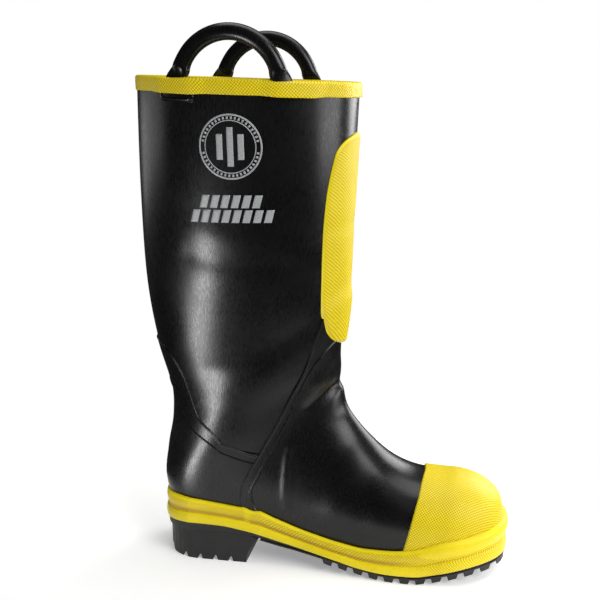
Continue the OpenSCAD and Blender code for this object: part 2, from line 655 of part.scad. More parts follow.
module midsole_filler() {
    framed() color("#3d3a35")
        difference() {
            sole_layer(-26, 0, fill_h, 2.2, 10);
            intersection() {
                shank_strip(0.25);
                translate([0, -shank_w / 2 - 0.4, 0]) cube([400, shank_w + 0.8, 100]);
            }
        }
}

module puncture_plate() {
    framed() color(steel) sole_layer(-21, plate_h, plate_h + plate_t, 1.6, 10.4);
}

module insole_board() {
    framed() color("#8a7a5c") sole_layer(-16, board_h, board_h + board_t, 1.6, 10.5);
}

module footbed() {
    framed() color("#4a4d52") sole_layer(-15, bed_h, bed_h + footbed_t, 1.8, 10.5);
}

leg_upper();
vamp_upper();
heel_counter();
side_strap_outer();
side_strap_inner();
back_strap();
collar_tape();
lining_binding();
loop_anchor_outer();
loop_anchor_inner();
pull_loop_outer();
pull_loop_inner();
shin_guard();
shin_foam();
toe_cover();
steel_toe_cap();
toe_cap_strip();
vamp_insulation();
heel_stiffener();
vamp_lining();
heel_lining();
leg_lining();
foxing_band();
foxing_bead();
toe_bumper();
outsole();
heel_block();
midsole_filler();
puncture_plate();
ladder_shank();
insole_board();
footbed();
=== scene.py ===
import bpy
import bmesh
import numpy as np
from mathutils import Matrix, Vector


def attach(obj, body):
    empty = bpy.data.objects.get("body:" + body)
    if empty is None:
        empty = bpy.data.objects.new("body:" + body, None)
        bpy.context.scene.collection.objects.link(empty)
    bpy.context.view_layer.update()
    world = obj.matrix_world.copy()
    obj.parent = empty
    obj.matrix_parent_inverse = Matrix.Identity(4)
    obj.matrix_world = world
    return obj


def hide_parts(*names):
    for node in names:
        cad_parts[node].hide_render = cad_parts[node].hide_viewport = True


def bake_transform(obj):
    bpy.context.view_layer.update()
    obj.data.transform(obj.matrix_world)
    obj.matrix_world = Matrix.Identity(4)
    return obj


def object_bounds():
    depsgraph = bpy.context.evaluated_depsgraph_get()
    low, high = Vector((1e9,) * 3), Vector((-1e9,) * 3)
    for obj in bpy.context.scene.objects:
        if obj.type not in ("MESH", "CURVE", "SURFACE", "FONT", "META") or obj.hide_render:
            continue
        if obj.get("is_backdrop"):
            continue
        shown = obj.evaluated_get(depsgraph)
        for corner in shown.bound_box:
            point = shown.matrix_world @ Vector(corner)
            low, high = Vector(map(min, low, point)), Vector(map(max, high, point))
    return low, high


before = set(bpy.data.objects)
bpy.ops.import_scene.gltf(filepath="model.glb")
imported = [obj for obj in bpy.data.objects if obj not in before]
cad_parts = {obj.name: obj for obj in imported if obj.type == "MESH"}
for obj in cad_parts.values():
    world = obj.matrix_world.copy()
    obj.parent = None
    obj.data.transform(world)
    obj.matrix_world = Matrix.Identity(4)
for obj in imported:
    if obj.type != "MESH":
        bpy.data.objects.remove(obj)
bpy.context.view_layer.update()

# ---- Camera ----
# A still-life camera at the boot's outer side, level with the collar and tilted down, with its
# frame shifted so that the boot stands upright in a square picture.
camera_data = bpy.data.cameras.new("camera")
camera = bpy.data.objects.new("camera", camera_data)
bpy.context.scene.collection.objects.link(camera)
camera_right = Vector((0.98528, 0.17093, -0.00118))
camera_up = Vector((-0.04408, 0.26074, 0.96440))
camera_back = camera_right.cross(camera_up)
camera.matrix_world = Matrix.Translation((0.1279, -0.7454, 0.4056)) @ Matrix(
    (camera_right, camera_up, camera_back)).transposed().to_4x4()
camera_data.sensor_width = 36
camera_data.lens = 55.8
camera_data.shift_x = -0.0448
camera_data.shift_y = 0.0587
bpy.context.scene.camera = camera

# ---- Leg of the upper ----
# The leg is one tube of calendered black rubber sheet, wrapped round the last and vulcanised
# there, so it is a smooth skin with a satin bloom and shallow creases where it has bent.
MM = 0.001
TOE_TURNS = np.radians(np.arange(108, 17, -18.0))


def power(value, exponent):
    """The value's size raised to the exponent, with its own sign."""
    return np.sign(value) * np.abs(value) ** exponent


def toe_stations(turn):
    """Half an oval in plan and in side view: each section is narrower and lower towards the tip."""
    c, w = np.cos(turn), np.sin(turn)
    x = 240 + 53.5 * w
    return np.stack([x, 36 + 44 * power(c, 0.62), x, 36 - 22.5 * power(c, 0.45), 45 * power(c, 0.85),
                     4 * w, np.full_like(c, 0.6), 2.2 + 0.2 * np.abs(w), 3.5 + 1.5 * np.abs(c)], 1)


# front x and z, back x and z, half width, sideways shift,
# place of the widest point from front to back, squareness in front and behind
STATIONS = np.vstack([toe_stations(TOE_TURNS), [
    [240, 80, 240, 13.5, 45, 0, 0.6, 2.2, 5],
    [219, 83, 214, 13, 46, -1, 0.6, 2.1, 5.5],
    [200, 92, 182, 13.5, 44.5, -1, 0.62, 2, 5.5],
    [184, 106, 143, 18, 40.5, -1, 0.64, 1.9, 5.5],
    [170, 121, 96, 26, 37, 0, 0.66, 1.85, 5],
    [159.5, 137, 44, 31, 37, 0, 0.66, 1.85, 5],
    [154.5, 156, 13, 36, 37.5, 0, 0.64, 1.85, 4],
    [153, 175, -2.5, 65, 39.5, 0, 0.62, 1.9, 2.6],
    [154, 194, -0.5, 94, 40.5, 0, 0.58, 1.95, 2.2],
    [156.5, 212, 5, 122, 41.5, 0, 0.56, 2, 2.1],
    [158.5, 232, 4.5, 152, 43.5, 0, 0.54, 2, 2.1],
    [160, 258, -5, 192, 49, 0, 0.52, 2.05, 2.1],
    [161.5, 295, -12, 248, 56, 0, 0.5, 2.1, 2.1],
    [164.5, 345, -13, 320, 62, 0, 0.5, 2.1, 2.1],
    [168, 403, -10.5, 409, 66, 0, 0.5, 2.1, 2.1],
    [171.5, 461, -8, 498, 70, 0, 0.5, 2.1, 2.1]]])
COLLAR = len(STATIONS) - 3


def spline(a, b, c, d, t):
    """Catmull-Rom: a cubic from b to c whose slopes at its ends are half of c - a and of d - b."""
    return (2 * b + (c - a) * t + (2 * a - 5 * b + 4 * c - d) * t**2 + (3 * b - a - 3 * c + d) * t**3) / 2


def skin(s, v):
    """The boot's outer surface in mm from the back of the heel. Station s gives a section between a
    front and a back point; v goes round it as a superellipse, from the front by the outer side."""
    s, v = np.broadcast_arrays(np.asarray(s, float), np.asarray(v, float))
    s = np.clip(s, 0, COLLAR)
    i = np.minimum(np.floor(s).astype(int), COLLAR - 1)
    q = spline(*(STATIONS[i + k] for k in range(4)), (s - i)[..., None])
    c, w = np.cos(2 * np.pi * v), np.sin(2 * np.pi * v)
    n = np.where(c > 0, q[..., 7], q[..., 8])
    r = (np.abs(c) ** n + np.abs(w) ** n) ** (-1 / n)
    k = q[..., 6] - r * c * np.where(c > 0, q[..., 6], 1 - q[..., 6])
    return np.stack([q[..., 0] + (q[..., 2] - q[..., 0]) * k, q[..., 5] - q[..., 4] * r * w,
                     q[..., 1] + (q[..., 3] - q[..., 1]) * k], -1)


def outward(s, v):
    """The skin's unit normal: the cross product of its slopes along s and along v."""
    a = np.clip(s, 0.04, COLLAR - 0.04)
    n = np.cross(skin(a + 0.04, v) - skin(a - 0.04, v), skin(a, v + 0.002) - skin(a, v - 0.002))
    n = n / np.maximum(np.linalg.norm(n, axis=-1, keepdims=True), 1e-9)
    tip = np.clip(1 - np.asarray(s)[..., None] / 0.08, 0, 1)
    return n * (1 - tip) + np.array([1.0, 0, 0]) * tip


def place(s, v, d):
    """A point d mm outside the skin."""
    return skin(s, v) + np.asarray(d)[..., None] * outward(s, v)


def smooth(a, b, t):
    """0 before a and 1 after b, with level ends: 3k^2 - 2k^3."""
    k = np.clip((t - a) / (b - a), 0, 1)
    return k * k * (3 - 2 * k)


def away(points, line):
    """Distance in mm from each point to a line given by close points."""
    flat = points.reshape(-1, 3)
    best = np.full(len(flat), 1e9)
    for p in line:
        best = np.minimum(best, ((flat - p) ** 2).sum(1))
    return np.sqrt(best).reshape(points.shape[:-1])


def path(knots, count):
    """count points on a Catmull-Rom curve through the knots."""
    knots = np.asarray(knots, float)
    t = np.linspace(0, len(knots) - 1, count)
    i = np.minimum(t.astype(int), len(knots) - 2)
    last = len(knots) - 1
    a, b, c, d = (knots[np.clip(i + k, 0, last)] for k in (-1, 0, 1, 2))
    return spline(a, b, c, d, (t - i)[:, None])


def hump(points, knots, height, width):
    """A soft ridge, or a crease where height is negative, with a bell-shaped section along [s, v] knots."""
    line = path(knots, 40)
    return height * np.exp(-(away(points, skin(line[:, 0], line[:, 1])) / width) ** 2)


def relief(s, v):
    """How far the rubber stands off the plain skin in mm: the sum of its creases, ridges and slow waves."""
    p = skin(s, v)
    side = np.where(np.sin(2 * np.pi * v) < 0, 1 - v, v)
    total = 0.22 * np.sin(s * 2.3 + 5 * np.cos(2 * np.pi * v)) * smooth(11, 13, s)
    total = total + hump(p, [[17.18, 0.311], [16.75, 0.21], [16.33, 0.109]], -0.55, 9)
    total = total + hump(p, [[17.5, 0.30], [17.1, 0.21], [16.7, 0.12]], 0.45, 11)
    total = total + hump(p, [[14.9, 0.30], [14.6, 0.22], [14.7, 0.14]], -0.5, 10)
    inner = np.where(v > 0.5, 1.0, 0.0)
    total = total + inner * hump(p, [[16.4, 0.70], [16.7, 0.8], [16.9, 0.89]], -0.7, 10)
    q = skin(s, side)
    for knots, height, width in (
            ([[10.4, 0.164], [10.2, 0.175], [9.87, 0.193], [9.62, 0.212], [9.28, 0.246], [9.1, 0.28]],
             1.15, 3.2),
            ([[11.15, 0.0], [11.2, 0.036], [11.24, 0.07], [11.2, 0.115]], -1.5, 4.5),
            ([[10.75, 0.02], [10.5, 0.07], [10.2, 0.1]], 0.9, 8),
            ([[11.9, 0.0], [11.95, 0.05], [11.95, 0.09]], 0.7, 7),
            ([[7.6, 0.14], [7.5, 0.2], [7.3, 0.26]], -0.5, 9),
            ([[8.5, 0.10], [8.4, 0.17], [8.2, 0.24]], 0.5, 10)):
        total = total + hump(q, knots, height, width)
    return total


def corners(grid):
    """The four corners of every cell of a grid, in turn round the cell."""
    return np.stack([grid[:-1, :-1], grid[1:, :-1], grid[1:, 1:], grid[:-1, 1:]], 2).reshape(
        (-1, 4) + grid.shape[2:])


def lengths(points):
    """Each grid point's distance in mm along its row and its column, from the middle column and first row."""
    across = np.linalg.norm(np.diff(points, axis=1), axis=-1)
    across = np.concatenate([np.zeros((len(points), 1)), np.cumsum(across, 1)], 1)
    across = across - across[:, across.shape[1] // 2][:, None]
    along = np.linalg.norm(np.diff(points, axis=0), axis=-1)
    along = np.concatenate([np.zeros((1, points.shape[1])), np.cumsum(along, 0)], 0)
    return np.stack([across, along], -1)


class Shell:
    """Collects grids of points in mm into one closed mesh, with texture lengths in mm and a number per point:
    above zero the check is worn plain, below zero it is painted shade.
    """

    def __init__(self):
        self.points, self.faces, self.maps, self.worn, self.count = [], [], [], [], 0

    def add(self, points, worn=0.0):
        """Adds loose points and gives their numbers."""
        self.points.append(points.reshape(-1, 3))
        self.worn.append(np.broadcast_to(worn, points.shape[:-1]).reshape(-1))
        numbers = np.arange(self.count, self.count + self.points[-1].shape[0])
        self.count += len(numbers)
        return numbers.reshape(points.shape[:-1])

    def skin_over(self, index, lay):
        """Adds the faces of a grid of point numbers, and lay, the texture place of each."""
        self.faces.append(corners(index))
        self.maps.append(corners(lay))

    def plate(self, outside, inside, around=False, tip=False, worn=0.0):
        """A plate between two grids: its two faces and the walls along its open edges.
        around joins its last column to its first, and tip gathers its first row into one point."""
        out, inn = self.add(outside, worn), self.add(inside, worn)
        lay = lengths(outside)
        if around:
            lay = np.concatenate([lay, (2 * lay[:, -1] - lay[:, -2])[:, None]], 1)
            out, inn = (np.concatenate([g, g[:, :1]], 1) for g in (out, inn))
        if tip:
            out[0], inn[0] = out[0, 0], inn[0, 0]
        self.skin_over(out, lay)
        self.skin_over(inn[:, ::-1], lay[:, ::-1])
        walls = [(inn[-1], out[-1], lay[-1], True)]
        if not tip:
            walls.append((inn[0], out[0], lay[0], False))
        if not around:
            walls += [(inn[:, 0], out[:, 0], lay[:, 0], True), (inn[:, -1], out[:, -1], lay[:, -1], False)]
        for low, high, at, turned in walls:
            rows, maps = np.stack([low, high]), np.stack([at, at + [0, 0.5]])
            self.skin_over(rows[::-1] if turned else rows, maps[::-1] if turned else maps)

    def ring(self, points, worn=0.0, closed=True):
        """A closed outline carried along a path: one row of points for each step of the path."""
        index, lay = self.add(points, worn), lengths(points)
        index = np.concatenate([index, index[:, :1]], 1)
        lay = np.concatenate([lay, (2 * lay[:, -1] - lay[:, -2])[:, None]], 1)
        if closed:
            index = np.concatenate([index, index[:1]])
            lay = np.concatenate([lay, (2 * lay[-1] - lay[-2])[None]])
        else:
            for k, turned in ((0, True), (-1, False)):
                middle = self.add(points[k].mean(0)[None], 0.0)
                fan = np.stack([np.full(index.shape[1], middle[0]), index[k]])
                flat = np.stack([lay[k], lay[k] + [0, 3]])
                self.skin_over(fan[:, ::-1] if turned else fan, flat)
        self.skin_over(index, lay)

    def piece(self, name, material, body, stands_for=(), inside_out=False):
        """Makes the object, in metres from the middle of the boot, and says what it rides on and stands for."""
        points = (np.concatenate(self.points) - [MIDDLE, 0, 0]) * MM
        faces, maps = np.concatenate(self.faces), np.concatenate(self.maps)
        if inside_out:
            faces, maps = faces[:, ::-1], maps[:, ::-1]
        flat = (np.linalg.norm(points[faces[:, 0]] - points[faces[:, 2]], axis=1) < 1e-9) | (
            np.linalg.norm(points[faces[:, 1]] - points[faces[:, 3]], axis=1) < 1e-9)
        faces, maps = faces[~flat], maps[~flat]
        ring = np.roll(faces, -1, 1) == faces
        order = np.argsort(ring, axis=1, kind="stable")
        pinched = ring.any(1)
        keep = np.sort(order[:, :3], axis=1)
        three = np.take_along_axis(faces, keep, 1)[pinched]
        three_maps = np.take_along_axis(maps, keep[..., None], 1)[pinched]
        mesh = bpy.data.meshes.new(name)
        mesh.from_pydata(points.tolist(), [], faces[~pinched].tolist() + three.tolist())
        cloth = mesh.uv_layers.new(name="lay")
        cloth.data.foreach_set("uv", np.concatenate([maps[~pinched].reshape(-1, 2), three_maps.reshape(-1, 2)])
                               .astype(np.float32).ravel())
        wear_and_shade = mesh.attributes.new("worn", "FLOAT", "POINT")
        wear_and_shade.data.foreach_set("value", np.concatenate(self.worn).astype(np.float32))
        mesh.polygons.foreach_set("use_smooth", np.ones(len(mesh.polygons), bool))
        mesh.materials.append(material)
        tidy = bmesh.new()
        tidy.from_mesh(mesh)
        bmesh.ops.delete(tidy, geom=[p for p in tidy.verts if not p.link_faces], context="VERTS")
        tidy.to_mesh(mesh)
        tidy.free()
        mesh.update()
        made = bpy.data.objects.new(name, mesh)
        bpy.context.scene.collection.objects.link(made)
        if body:
            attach(made, body)
        if stands_for:
            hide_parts(*stands_for)
        return made


def colour(code):
    """The linear colour of an sRGB hex value."""
    c = np.array([int(code[k:k + 2], 16) for k in (1, 3, 5)]) / 255
    return (*np.where(c <= 0.04045, c / 12.92, ((c + 0.055) / 1.055) ** 2.4), 1)


def node(tree, kind, inputs=None, **settings):
    """Adds one shader node, sets its properties, and sets or links its inputs."""
    made = tree.nodes.new("ShaderNode" + kind)
    for name, value in settings.items():
        setattr(made, name, value)
    for name, value in (inputs or {}).items():
        if isinstance(value, bpy.types.NodeSocket):
            tree.links.new(value, made.inputs[name])
        else:
            made.inputs[name].default_value = value
    return made


def material(name):
    """A new material: its node tree and its shader."""
    made = bpy.data.materials.new(name)
    made.use_nodes = True
    tree = made.node_tree
    tree.nodes.clear()
    shader = node(tree, "BsdfPrincipled")
    node(tree, "OutputMaterial", {"Surface": shader.outputs[0]})
    return made, tree, shader


def specks(tree, size, stretch=(1, 1, 1), detail=3.0):
    """Noise on the piece's own metres with specks of about that size in mm, drawn out by stretch."""
    at = node(tree, "TexCoord").outputs["Object"]
    scaled = node(tree, "Mapping", {"Vector": at, "Scale": tuple(1 / (size * MM * k) for k in stretch)})
    return node(tree, "TexNoise", {"Vector": scaled.outputs[0], "Scale": 1.0, "Detail": detail}).outputs["Fac"]


def between(tree, factor, low, high):
    """Spreads a 0 to 1 value between two numbers."""
    return node(tree, "MapRange", {"Value": factor, "From Min": 0.3, "From Max": 0.7,
                                   "To Min": low, "To Max": high}).outputs[0]


def blend_colour(tree, factor, low, high):
    """A colour between two, or between a hex value and another node's colour."""
    values = [c if isinstance(c, bpy.types.NodeSocket) else colour(c) for c in (low, high)]
    made = node(tree, "Mix", {"Factor": factor}, data_type="RGBA")
    for socket, value in zip((made.inputs[6], made.inputs[7]), values):
        if isinstance(value, bpy.types.NodeSocket):
            tree.links.new(value, socket)
        else:
            socket.default_value = value
    return made.outputs[2]


def paint(tree, shader, mask, dark, light):
    """Colours a material by a blend of two colours."""
    tree.links.new(blend_colour(tree, mask, dark, light), shader.inputs["Base Color"])


def dent(tree, shader, height, strength, distance):
    """Bumps a material by a height, to a depth in metres."""
    bump = node(tree, "Bump", {"Height": height, "Strength": strength, "Distance": distance})
    tree.links.new(bump.outputs[0], shader.inputs["Normal"])


# Vulcanised natural rubber: near black with a faint grey bloom. The cloth-pressed sheet has a fine
# upright drag in its gloss, and dust grains about half a millimetre wide.
rubber, tree, shader = material("black_vulcanised_rubber")
bloom = specks(tree, 38)
drag = specks(tree, 1.0, (1, 1, 5))
grain = specks(tree, 0.7, detail=2.0)
tint = blend_colour(tree, between(tree, bloom, 0, 1), "#060607", "#0b0b0c")
tint = blend_colour(tree, between(tree, drag, 0, 0.3), tint, "#141415")
tree.links.new(tint, shader.inputs["Base Color"])
rough = node(tree, "Math", {0: between(tree, bloom, 0.26, 0.33), 1: between(tree, drag, -0.05, 0.05)})
tree.links.new(rough.outputs[0], shader.inputs["Roughness"])
shader.inputs["IOR"].default_value = 1.52
shader.inputs["Specular IOR Level"].default_value = 0.32
shader.inputs["Coat Weight"].default_value = 0.06
shader.inputs["Coat Roughness"].default_value = 0.22
low_bump = node(tree, "Bump", {"Height": drag, "Strength": 0.5, "Distance": 0.00009})
fine_bump = node(tree, "Bump", {"Height": grain, "Strength": 0.5, "Distance": 0.00005,
                                "Normal": low_bump.outputs[0]})
tree.links.new(fine_bump.outputs[0], shader.inputs["Normal"])

# Seams of the upper as [v, s]; the straps cover them
FRONT_SEAM = np.array([[0, 14], [0.07, 13.85], [0.1, 13.3], [0.12, 12.6], [0.14, 11.9], [0.16, 11.4],
                       [0.2, 10.75], [0.24, 10.25], [0.3, 9.8], [0.36, 9.5], [0.43, 9.5]])
BACK_SEAM = np.array([[0.2, 10.95], [0.24, 11.85], [0.28, 12.6], [0.32, 13.15], [0.35, 13.75], [0.37, 14.3],
                      [0.39, 15], [0.43, 15.5], [0.5, 15.6]])
CROSSING = 0.2
SEAM_GAP = 0.02
WALL = 2.6
MIDDLE = (skin(np.linspace(15, COLLAR, 41), 0.5)[:, 0].min() + 299.6) / 2


def fold(v):
    """v of the same place on the outer side, from 0 in front to 0.5 behind."""
    f = np.abs(v) % 1
    return np.minimum(f, 1 - f)


def at_v(line, v):
    """The station that a seam has at v."""
    return np.interp(fold(v), line[:, 0], line[:, 1])


def rows_between(low, high, count, v):
    """Grids of s and v: count rows of stations from low to high, at each v."""
    share = np.linspace(0, 1, count)[:, None]
    return low + (high - low) * share, np.broadcast_to(v, (count, len(v)))


def leg_edge(v):
    return np.where(fold(v) < CROSSING - 0.001, at_v(FRONT_SEAM, v), at_v(BACK_SEAM, v))


turn = np.arange(256) / 256
s, v = rows_between(leg_edge(turn) + SEAM_GAP, COLLAR - 0.02, 150, turn)
leg = Shell()
leg.plate(place(s, v, relief(s, v)), place(s, v, np.full(s.shape, -WALL)), around=True)
leg.piece("leg_rubber", rubber, "boot", ["leg_upper"])

# ---- Vamp and heel counter ----
# Two more panels of the same rubber sheet, laid on the last before it is heated. They turn in
# under the foot, and the seams between them and the leg lie under the straps.
across = np.linspace(-0.425, 0.425, 190)
s, v = rows_between(0 * across, at_v(FRONT_SEAM, across) - SEAM_GAP, 150, across)
vamp = Shell()
vamp.plate(place(s, v, relief(s, v)), place(s, v, np.full(s.shape, -WALL)), tip=True)
vamp.piece("vamp_rubber", rubber, "boot", ["vamp_upper"])

SEAT = np.array([[0.2, 10.75], [0.24, 10.25], [0.3, 9.8], [0.36, 9.5], [0.43, 9.6], [0.46, 10.1], [0.5, 10.3]])
across = np.linspace(CROSSING, 1 - CROSSING, 170)
s, v = rows_between(at_v(SEAT, across) + SEAM_GAP, at_v(BACK_SEAM, across) - SEAM_GAP, 90, across)
counter = Shell()
counter.plate(place(s, v, relief(s, v)), place(s, v, np.full(s.shape, -WALL)))
counter.piece("heel_rubber", rubber, "boot", ["heel_counter"])

# ---- Straps over the seams ----
# Moulded rubber strips about 10 mm wide, laid over the raw seams before vulcanising. Each has a
# thin raised lip along both edges. The side straps fan out under the shin guard.
SIDE_REAR = [[14.9, 0.1], [14.2, 0.114], [13.6, 0.118], [12.85, 0.126], [12.1, 0.147], [11.55, 0.167],
             [10.95, 0.211], [10.4, 0.25], [9.95, 0.3], [9.6, 0.34]]
SIDE_FRONT = [[13.4, 0.01], [13.25, 0.045], [12.95, 0.09], [12.4, 0.115], [11.7, 0.132], [11.15, 0.16],
              [10.6, 0.199], [10.15, 0.234], [9.75, 0.283], [9.4, 0.325]]
BACK_HIGH = [[11, 0.206], [11.95, 0.237], [12.75, 0.279], [13.4, 0.319], [14.1, 0.3485], [14.75, 0.363],
             [15.6, 0.384], [16.05, 0.42], [16.05, 0.5]]
BACK_LOW = [[10.75, 0.216], [11.6, 0.238], [12.35, 0.278], [12.9, 0.32], [13.4, 0.35], [13.9, 0.375],
            [14.5, 0.403], [15, 0.435], [15.2, 0.5]]


def both_sides(edge):
    """An edge from the outer side round the back to the inner side."""
    edge = np.array(edge)
    return np.concatenate([edge, (edge[:-1] * [1, -1] + [0, 1])[::-1]])


def eased(line, reach=0.12):
    """A curve averaged over a short window, so no bend of it is sudden; its ends stay."""
    window = int(len(line) * reach) | 1
    ends = [np.repeat(line[k:k + 1], window // 2, 0) * 2 - line[m][::-1]
            for k, m in ((0, slice(1, window // 2 + 1)), (len(line) - 1, slice(-window // 2, -1)))]
    padded = np.concatenate([ends[0], line, ends[1]])
    return np.stack([np.convolve(padded[:, k], np.ones(window) / window, "valid") for k in (0, 1)], 1)


def strap(first, second, height, lip, steps=220):
    """A band between two edge curves: flat, with rounded sides and a bell-shaped lip 1.2 mm from each."""
    first, second = eased(path(first, steps))[:, None], eased(path(second, steps))[:, None]
    share = (0.5 + 0.5 * np.sin(np.linspace(-np.pi / 2, np.pi / 2, 31)))[None, :, None]
    at = first + (second - first) * share
    s, v = at[..., 0], at[..., 1]
    base = relief(s, v)
    across = np.cumsum(np.linalg.norm(np.diff(skin(s, v), axis=1, prepend=skin(s, v)[:, :1]), axis=-1), 1)
    edge = np.minimum(across, across[:, -1:] - across)
    side = np.sqrt(np.clip(1 - (1 - np.minimum(edge / 0.8, 1)) ** 2, 0, 1))
    depth = base + 0.05 + height * side + lip * np.exp(-((edge - 1.2) / 0.6) ** 2)
    return place(s, v, depth), place(s, v, base - 0.6)


for name, mirror, stands_for in (("side_strap_outer_band", 1, "side_strap_outer"),
                                 ("side_strap_inner_band", -1, "side_strap_inner")):
    band = Shell()
    front, rear = (np.array(e) * [1, mirror] for e in (SIDE_FRONT, SIDE_REAR))
    band.plate(*strap(front, rear, 0.7, 1.0))
    band.piece(name, rubber, "boot", [stands_for], inside_out=mirror > 0)
band = Shell()
band.plate(*strap(both_sides(BACK_HIGH), both_sides(BACK_LOW), 0.7, 0.5, 420))
band.piece("back_strap_band", rubber, "boot", ["back_strap"])

# ---- Shin guard and toe cover ----
# Yellow rubber pressed on a coarse cloth, so it carries a fine raised diamond check. The guard is
# a pad with a rounded rim on the shin; the cover wraps the steel toe and ends in a trimmed edge.
yellow_rubber, tree, shader = material("cloth_pressed_yellow_rubber")
CHECK = 1.8
lay = node(tree, "UVMap", uv_map="lay").outputs[0]
turned = node(tree, "Mapping", {"Vector": lay, "Rotation": (0, 0, np.radians(40)),
                                "Scale": (np.pi / CHECK, np.pi / CHECK, 1)})
parts = node(tree, "SeparateXYZ", {"Vector": turned.outputs[0]})
threads = [node(tree, "Math", {0: node(tree, "Math", {0: parts.outputs[k]}, operation="SINE").outputs[0]},
                operation="ABSOLUTE").outputs[0] for k in (0, 1)]
check = node(tree, "Math", {0: threads[0], 1: threads[1]}, operation="MULTIPLY").outputs[0]
worn = node(tree, "Attribute", attribute_name="worn").outputs["Fac"]
fresh = node(tree, "Math", {0: 1.0, 1: worn}, operation="SUBTRACT", use_clamp=True).outputs[0]
# Painted shade: where the point number is below zero, the yellow is blended towards dark amber (#b98a0c) as
# shade in the foxing band's groove.
painted_shade = node(tree, "Math", {0: worn, 1: -0.8}, operation="MULTIPLY", use_clamp=True).outputs[0]
# Painted shade: the check's pits are coloured darker amber (#9a7206) as shade in its recesses. The bump alone
# gives the raised check.
pit_shade = node(tree, "MapRange", {"Value": check, "From Min": 0.0, "From Max": 0.45, "To Min": 1.0, "To Max": 0.0})
pit_shade = node(tree, "Math", {0: pit_shade.outputs[0], 1: fresh}, operation="MULTIPLY").outputs[0]
patches = blend_colour(tree, between(tree, specks(tree, 25), 0, 1), "#efd906", "#f6e210")
soiled_and_shaded = blend_colour(tree, between(tree, specks(tree, 2.5), 0, 0.25), patches, "#dfc00c")
soiled_and_shaded = blend_colour(tree, painted_shade, soiled_and_shaded, "#b98a0c")
pit_shade_share = node(tree, "Math", {0: pit_shade, 1: 0.85}, operation="MULTIPLY").outputs[0]
tree.links.new(blend_colour(tree, pit_shade_share, soiled_and_shaded, "#9a7206"), shader.inputs["Base Color"])
tree.links.new(between(tree, specks(tree, 3), 0.4, 0.52), shader.inputs["Roughness"])
shader.inputs["IOR"].default_value = 1.52
shader.inputs["Specular IOR Level"].default_value = 0.35
raised = node(tree, "Math", {0: check, 1: fresh}, operation="MULTIPLY").outputs[0]
check_bump = node(tree, "Bump", {"Height": raised, "Strength": 0.6, "Distance": 0.00022})
skin_bump = node(tree, "Bump", {"Height": specks(tree, 0.8), "Strength": 0.3, "Distance": 0.00005,
                                "Normal": check_bump.outputs[0]})
tree.links.new(skin_bump.outputs[0], shader.inputs["Normal"])

LAYER_GAP = 0.35
STRAP_GAP = 0.1
STRAP_T = 1.8
COVER_T = 1.6
GUARD = [[12.98, 0.002], [13.0, 0.018], [13.36, 0.053], [14, 0.083], [14.6, 0.096], [15.1, 0.105],
         [16.3, 0.105], [17, 0.104], [17.6, 0.099], [18.05, 0.087], [18.2, 0.077], [18.3, 0.055],
         [18.36, 0.02], [18.365, 0.002]]
outline = path(GUARD, 150)
share = np.sin(np.linspace(-np.pi / 2, np.pi / 2, 81))
s = np.broadcast_to(outline[:, :1], (150, 81))
v = outline[:, 1:] * share
rim_line = np.concatenate([skin(outline[:, 0], outline[:, 1]), skin(outline[:, 0], -outline[:, 1])])
edge = away(skin(s, v), rim_line)
rounding = np.sqrt(np.clip(1 - (1 - np.minimum(edge / 2.6, 1)) ** 2, 0, 1))
over = (STRAP_GAP + LAYER_GAP + STRAP_T * (1 - smooth(15, 15.6, s))) * smooth(0, 3, edge)
kink = -0.5 * np.exp(-((s - 17.0) / 0.12) ** 2)
crown = 0.3 * (1 - share**2)
guard = Shell()
guard.plate(place(s, v, over + crown + kink + 0.15 + COVER_T * rounding), place(s, v, 0 * s - 0.5),
            worn=np.clip(1.2 - edge / 1.6, 0, 1))
guard.piece("shin_guard_pad", yellow_rubber, "boot", ["shin_guard"])

TOE_LINE = np.array([[0, 5.62], [0.12, 5.72], [0.25, 5.97], [0.35, 6.1]])
across = np.linspace(-0.36, 0.36, 200)
s, v = rows_between(0 * across, at_v(TOE_LINE, across), 150, across)
share = np.linspace(0, 1, 150)[:, None]
s = at_v(TOE_LINE, across) * (share + 0.06 * np.sin(np.pi * share) * share)
edge = np.broadcast_to((at_v(TOE_LINE, across) - s) * 21, s.shape)
rounding = np.sqrt(np.clip(1 - (1 - np.minimum(edge / 0.9, 1)) ** 2, 0, 1))
cover = Shell()
cover.plate(place(s, v, 0.55 + (LAYER_GAP + COVER_T - 0.55) * rounding), place(s, v, 0 * s - 0.5), tip=True,
            worn=np.clip(1 - edge / 1.2, 0, 1))
cover.piece("toe_cover_cap", yellow_rubber, "boot", ["toe_cover"])

# ---- Foxing ----
# A yellow rubber strip wrapped round the boot where the upper meets the sole, in two tiers: a wide
# rounded band and a bead under it, with a bumper at the toe. The joint shows at the side strap, and
# a black wall fills the room between the bead and the tread.
HEEL_MID, HEEL_A, HEEL_B, HEEL_SQUARE = 36, 34.5, 37, 2.3
SIDE_PLAN = np.array([[60, 37], [90, 36.8], [120, 37.8], [160, 42.3], [200, 46.3], [222, 47]], float)
SHIFT = np.array([[96, 0], [143, -1], [222, -1], [240, 0], [293.5, 4]], float)
TREAD = np.array([[0, 25], [20, 28], [60, 29], [80, 27], [100, 22.5], [120, 19], [143, 15], [160, 12],
                  [176, 9], [192, 6.3], [204, 5.5], [226, 5.5], [240, 8], [256, 11], [270, 13.3],
                  [285, 14.5], [305, 14]])
TOP_EDGE = np.array([[-5, 56], [12, 58], [30, 57], [55, 54], [75, 51.5], [90, 49], [107, 42.5], [125, 36.5],
                     [152, 30.5], [178, 26.5], [205, 27.5], [225, 30.5], [244, 37.5], [261, 40.5], [278, 43],
                     [292, 45.5], [305, 42.5]], float)
JOINT_X = 79.5


